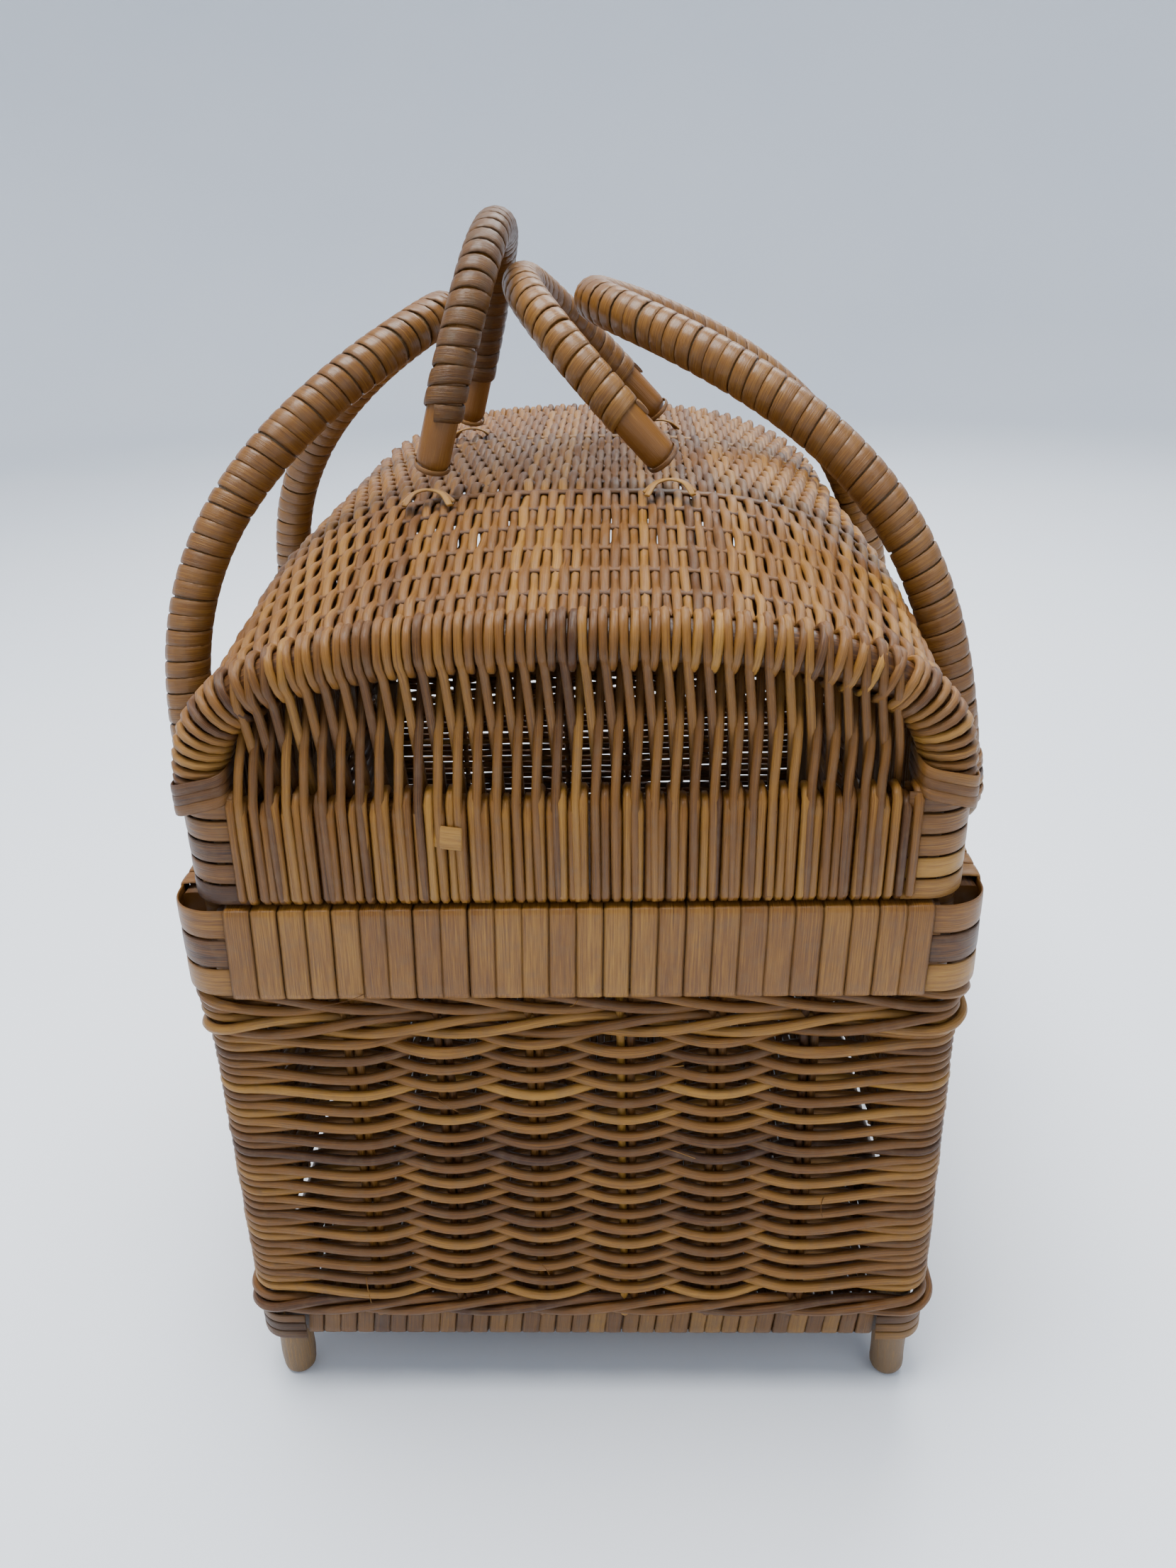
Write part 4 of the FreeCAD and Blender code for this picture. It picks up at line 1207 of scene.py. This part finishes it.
def make_fibres(sizes):
    """Stray fibres that stand off the walls and the rim."""
    rng = np.random.default_rng(sizes.seed + 17)
    count = 46
    places = 1000
    line, normal, _, _ = outline(RIM_X, RIM_Y, POST_X, POST_Y, places)
    index = rng.integers(0, places, count)
    normal = normal[index]
    root = line[index] + normal * 0.4 * MM
    root[:, 2] = rng.uniform(WALL_BOTTOM + 5 * MM, RIM_TOP - 6 * MM, count)
    low = root[:, 2] < RIM_BOTTOM
    root[low] -= normal[low] * 2.4 * MM
    out = unit(normal * 0.5 + rng.normal(0, 0.7, (count, 3)))
    out = unit(out + normal * np.maximum(0, 0.35 - (out * normal).sum(-1, keepdims=True)))
    f = np.linspace(0, 1, 7)[None, :, None]
    length = rng.uniform(4, 12, (count, 1, 1)) * MM
    bend = rng.normal(0, 0.25, (count, 1, 3))
    paths = root[:, None] + (out[:, None] * f + bend * f ** 2 * 0.5) * length
    hairs = sweep(paths, 0.16 * MM, 0.12 * MM, np.array([0.3, 0.2, 1.0]), sides=4)
    piece("stray_fibres", "basket", [(hairs, tones(rng, count, 0.7, 0.2))], MATERIALS["cane"])


# ---------------------------------------------------------------- stage

def make_stage():
    """A pale bowl-shaped floor, soft lights from above, and the camera."""
    make_floor()
    make_lights()
    make_camera()


def make_floor():
    """A round floor, level in the middle, whose edge rises with the square of the distance past 2.4 m."""
    level_radius = 2.4
    spokes = 96
    radius = np.concatenate([np.linspace(0, level_radius, 14), np.linspace(2.5, 4.2, 22)])
    height = np.clip(radius - level_radius, 0, None) ** 2 * 0.9
    around = np.linspace(0, 2 * np.pi, spokes, endpoint=False)
    grid = np.stack([
        radius[1:, None] * np.cos(around), radius[1:, None] * np.sin(around),
        np.repeat(height[1:, None], spokes, 1)], -1).reshape(-1, 3)
    verts = np.concatenate([[[0, 0, 0]], grid])
    ring = 1 + np.arange(len(radius) - 2)[:, None] * spokes
    spoke = np.arange(spokes)
    here, beside = ring + spoke, ring + (spoke + 1) % spokes
    quads = np.stack([here, here + spokes, beside + spokes, beside], -1).reshape(-1, 4)
    fan = np.stack([np.zeros(spokes, int), here[0], beside[0]], -1)
    mesh = bpy.data.meshes.new("floor")
    mesh.from_pydata(verts.tolist(), [], fan.tolist() + quads.tolist())
    for polygon in mesh.polygons:
        polygon.use_smooth = True
    floor = bpy.data.objects.new("floor", mesh)
    bpy.context.scene.collection.objects.link(floor)
    material = bpy.data.materials.new("Pale floor")
    material.use_nodes = True
    nodes, links = material.node_tree.nodes, material.node_tree.links
    shader = nodes["Principled BSDF"]
    where = nodes.new("ShaderNodeTexCoord")
    cloud = noise_node(nodes, links, where.outputs["Object"], 3.0, 2)
    ramp = nodes.new("ShaderNodeValToRGB")
    ramp.color_ramp.elements[0].color = (0.86, 0.91, 0.98, 1)
    ramp.color_ramp.elements[1].color = (0.93, 0.96, 1.0, 1)
    links.new(cloud, ramp.inputs["Fac"])
    links.new(ramp.outputs["Color"], shader.inputs["Base Color"])
    shader.inputs["Roughness"].default_value = 0.6
    mesh.materials.append(material)


def make_lights():
    """A soft room and three round lights turned towards the middle of the basket."""
    world = bpy.data.worlds.new("Soft room")
    world.use_nodes = True
    room = world.node_tree.nodes["Background"]
    room.inputs["Color"].default_value = (0.76, 0.86, 1.0, 1)
    room.inputs["Strength"].default_value = 0.6
    bpy.context.scene.world = world
    for name, place, size, power in (
            ("key_light", (-0.25, -0.1, 1.9), 1.2, 60), ("fill_light", (1.3, -1.4, 1.2), 1.2, 4),
            ("back_light", (0.5, 1.3, 1.6), 1.0, 22)):
        light = bpy.data.lights.new(name, "AREA")
        light.shape = "DISK"
        light.size = size
        light.energy = power
        lamp = bpy.data.objects.new(name, light)
        lamp.location = place
        lamp.rotation_euler = (Vector((0, 0, 0.2)) - Vector(place)).to_track_quat("-Z", "Y").to_euler()
        bpy.context.scene.collection.objects.link(lamp)


def make_camera():
    """The camera, turned by its yaw, then its pitch down, then its roll."""
    camera = bpy.data.cameras.new("camera")
    camera.sensor_fit = "HORIZONTAL"
    camera.sensor_width = 36
    focal_in_widths = 1.055
    camera.lens = camera.sensor_width * focal_in_widths
    camera.clip_start = 0.01
    pitch, yaw, roll = math.radians(24.5), math.radians(2.0), math.radians(-1.5)
    forward = Vector((math.sin(-yaw) * math.cos(pitch), math.cos(yaw) * math.cos(pitch), -math.sin(pitch)))
    level = Vector((math.cos(yaw), math.sin(yaw), 0))
    above = level.cross(forward)
    right = level * math.cos(roll) + above * math.sin(roll)
    upward = above * math.cos(roll) - level * math.sin(roll)
    view = Matrix((right, upward, -forward)).transposed().to_4x4()
    view.translation = Vector((0.0172, -0.5029, 0.4175))
    shot = bpy.data.objects.new("camera", camera)
    shot.matrix_world = view
    bpy.context.scene.collection.objects.link(shot)
    bpy.context.scene.camera = shot


# ---------------------------------------------------------------- operators

class BASKET_OT_posts(bpy.types.Operator):
    """Make the four corner poles that end in the feet"""

    bl_idname = "basket.posts"
    bl_label = "Corner poles"

    def execute(self, context):
        make_posts(context.scene.basket_sizes)
        return {"FINISHED"}


class BASKET_OT_rails(bpy.types.Operator):
    """Make the wound rails between the feet and the strips round their corners"""

    bl_idname = "basket.rails"
    bl_label = "Bottom rails"

    def execute(self, context):
        make_rails(context.scene.basket_sizes)
        return {"FINISHED"}


class BASKET_OT_base(bpy.types.Operator):
    """Make the woven floor"""

    bl_idname = "basket.base"
    bl_label = "Base"

    def execute(self, context):
        make_base(context.scene.basket_sizes)
        return {"FINISHED"}


class BASKET_OT_wall_weave(bpy.types.Operator):
    """Make the rows of reed round the walls"""

    bl_idname = "basket.wall_weave"
    bl_label = "Wall weave"

    def execute(self, context):
        make_wall_weave(context.scene.basket_sizes)
        return {"FINISHED"}


class BASKET_OT_stakes(bpy.types.Operator):
    """Make the pairs of upright rods in the walls"""

    bl_idname = "basket.stakes"
    bl_label = "Stakes"

    def execute(self, context):
        make_stakes(context.scene.basket_sizes)
        return {"FINISHED"}


class BASKET_OT_wales(bpy.types.Operator):
    """Make the twisted borders under and over the weave"""

    bl_idname = "basket.wales"
    bl_label = "Borders"

    def execute(self, context):
        make_wales(context.scene.basket_sizes)
        return {"FINISHED"}


class BASKET_OT_rim(bpy.types.Operator):
    """Make the wound rim and its corner strips"""

    bl_idname = "basket.rim"
    bl_label = "Rim"

    def execute(self, context):
        make_rim(context.scene.basket_sizes)
        return {"FINISHED"}


class BASKET_OT_outer_handles(bpy.types.Operator):
    """Make the two long handles and the lashings at their feet"""

    bl_idname = "basket.outer_handles"
    bl_label = "Outer handles"

    def execute(self, context):
        make_outer_handles(context.scene.basket_sizes)
        return {"FINISHED"}


class BASKET_OT_straps(bpy.types.Operator):
    """Make the straps that tie the long handles to the rim"""

    bl_idname = "basket.straps"
    bl_label = "Handle straps"

    def execute(self, context):
        make_straps(context.scene.basket_sizes)
        return {"FINISHED"}


class BASKET_OT_hinge(bpy.types.Operator):
    """Make the cane loops between rim and lid"""

    bl_idname = "basket.hinge"
    bl_label = "Hinge ties"

    def execute(self, context):
        make_hinge(context.scene.basket_sizes)
        return {"FINISHED"}


class BASKET_OT_lid_band(bpy.types.Operator):
    """Make the wound band of the lid"""

    bl_idname = "basket.lid_band"
    bl_label = "Lid band"

    def execute(self, context):
        make_lid_band(context.scene.basket_sizes)
        return {"FINISHED"}


class BASKET_OT_hoops(bpy.types.Operator):
    """Make the end hoops and the lashing that ties them to the band"""

    bl_idname = "basket.hoops"
    bl_label = "End hoops"

    def execute(self, context):
        make_hoops(context.scene.basket_sizes)
        return {"FINISHED"}


class BASKET_OT_inner_hoops(bpy.types.Operator):
    """Make the two rods under the woven top"""

    bl_idname = "basket.inner_hoops"
    bl_label = "Inner hoops"

    def execute(self, context):
        make_inner_hoops(context.scene.basket_sizes)
        return {"FINISHED"}


class BASKET_OT_lid_weave(bpy.types.Operator):
    """Make the woven top of the lid"""

    bl_idname = "basket.lid_weave"
    bl_label = "Lid weave"

    def execute(self, context):
        make_lid_weave(context.scene.basket_sizes)
        return {"FINISHED"}


class BASKET_OT_lid_handles(bpy.types.Operator):
    """Make the two lid handles and their ties"""

    bl_idname = "basket.lid_handles"
    bl_label = "Lid handles"

    def execute(self, context):
        make_lid_handles(context.scene.basket_sizes)
        return {"FINISHED"}


class BASKET_OT_fibres(bpy.types.Operator):
    """Make the loose fibres on the walls and rim"""

    bl_idname = "basket.fibres"
    bl_label = "Stray fibres"

    def execute(self, context):
        make_fibres(context.scene.basket_sizes)
        return {"FINISHED"}


class BASKET_OT_materials(bpy.types.Operator):
    """Make the cane, reed and wood finishes"""

    bl_idname = "basket.materials"
    bl_label = "Finishes"

    def execute(self, context):
        make_materials(context.scene.basket_colours)
        return {"FINISHED"}


class BASKET_OT_stage(bpy.types.Operator):
    """Make the floor, the lights and the camera"""

    bl_idname = "basket.stage"
    bl_label = "Stage"

    def execute(self, context):
        make_stage()
        return {"FINISHED"}


OPERATORS = (
    BASKET_OT_materials,
    BASKET_OT_posts,
    BASKET_OT_rails,
    BASKET_OT_base,
    BASKET_OT_wall_weave,
    BASKET_OT_stakes,
    BASKET_OT_wales,
    BASKET_OT_rim,
    BASKET_OT_outer_handles,
    BASKET_OT_straps,
    BASKET_OT_hinge,
    BASKET_OT_lid_band,
    BASKET_OT_hoops,
    BASKET_OT_inner_hoops,
    BASKET_OT_lid_weave,
    BASKET_OT_lid_handles,
    BASKET_OT_fibres,
    BASKET_OT_stage,
)


class BASKET_PT_panel(bpy.types.Panel):
    """The basket's sizes, colours and pieces in the sidebar"""

    bl_idname = "BASKET_PT_panel"
    bl_label = "Wicker basket"
    bl_space_type = "VIEW_3D"
    bl_region_type = "UI"
    bl_category = "Basket"

    def draw(self, context):
        layout = self.layout
        for settings in (context.scene.basket_sizes, context.scene.basket_colours):
            for name in settings.__annotations__:
                layout.prop(settings, name)
        for operator in OPERATORS:
            layout.operator(operator.bl_idname)


CLASSES = (BasketSizes, BasketColours, *OPERATORS, BASKET_PT_panel)


def register():
    """Register the classes and hang the settings on the scene."""
    for cls in CLASSES:
        bpy.utils.register_class(cls)
    bpy.types.Scene.basket_sizes = PointerProperty(type=BasketSizes)
    bpy.types.Scene.basket_colours = PointerProperty(type=BasketColours)


def unregister():
    """Take the settings and the classes away again."""
    del bpy.types.Scene.basket_colours
    del bpy.types.Scene.basket_sizes
    for cls in reversed(CLASSES):
        bpy.utils.unregister_class(cls)


def main():
    """Build every piece in order."""
    register()
    for operator in OPERATORS:
        group, name = operator.bl_idname.split(".")
        getattr(getattr(bpy.ops, group), name)()


if __name__ == "__main__":
    main()
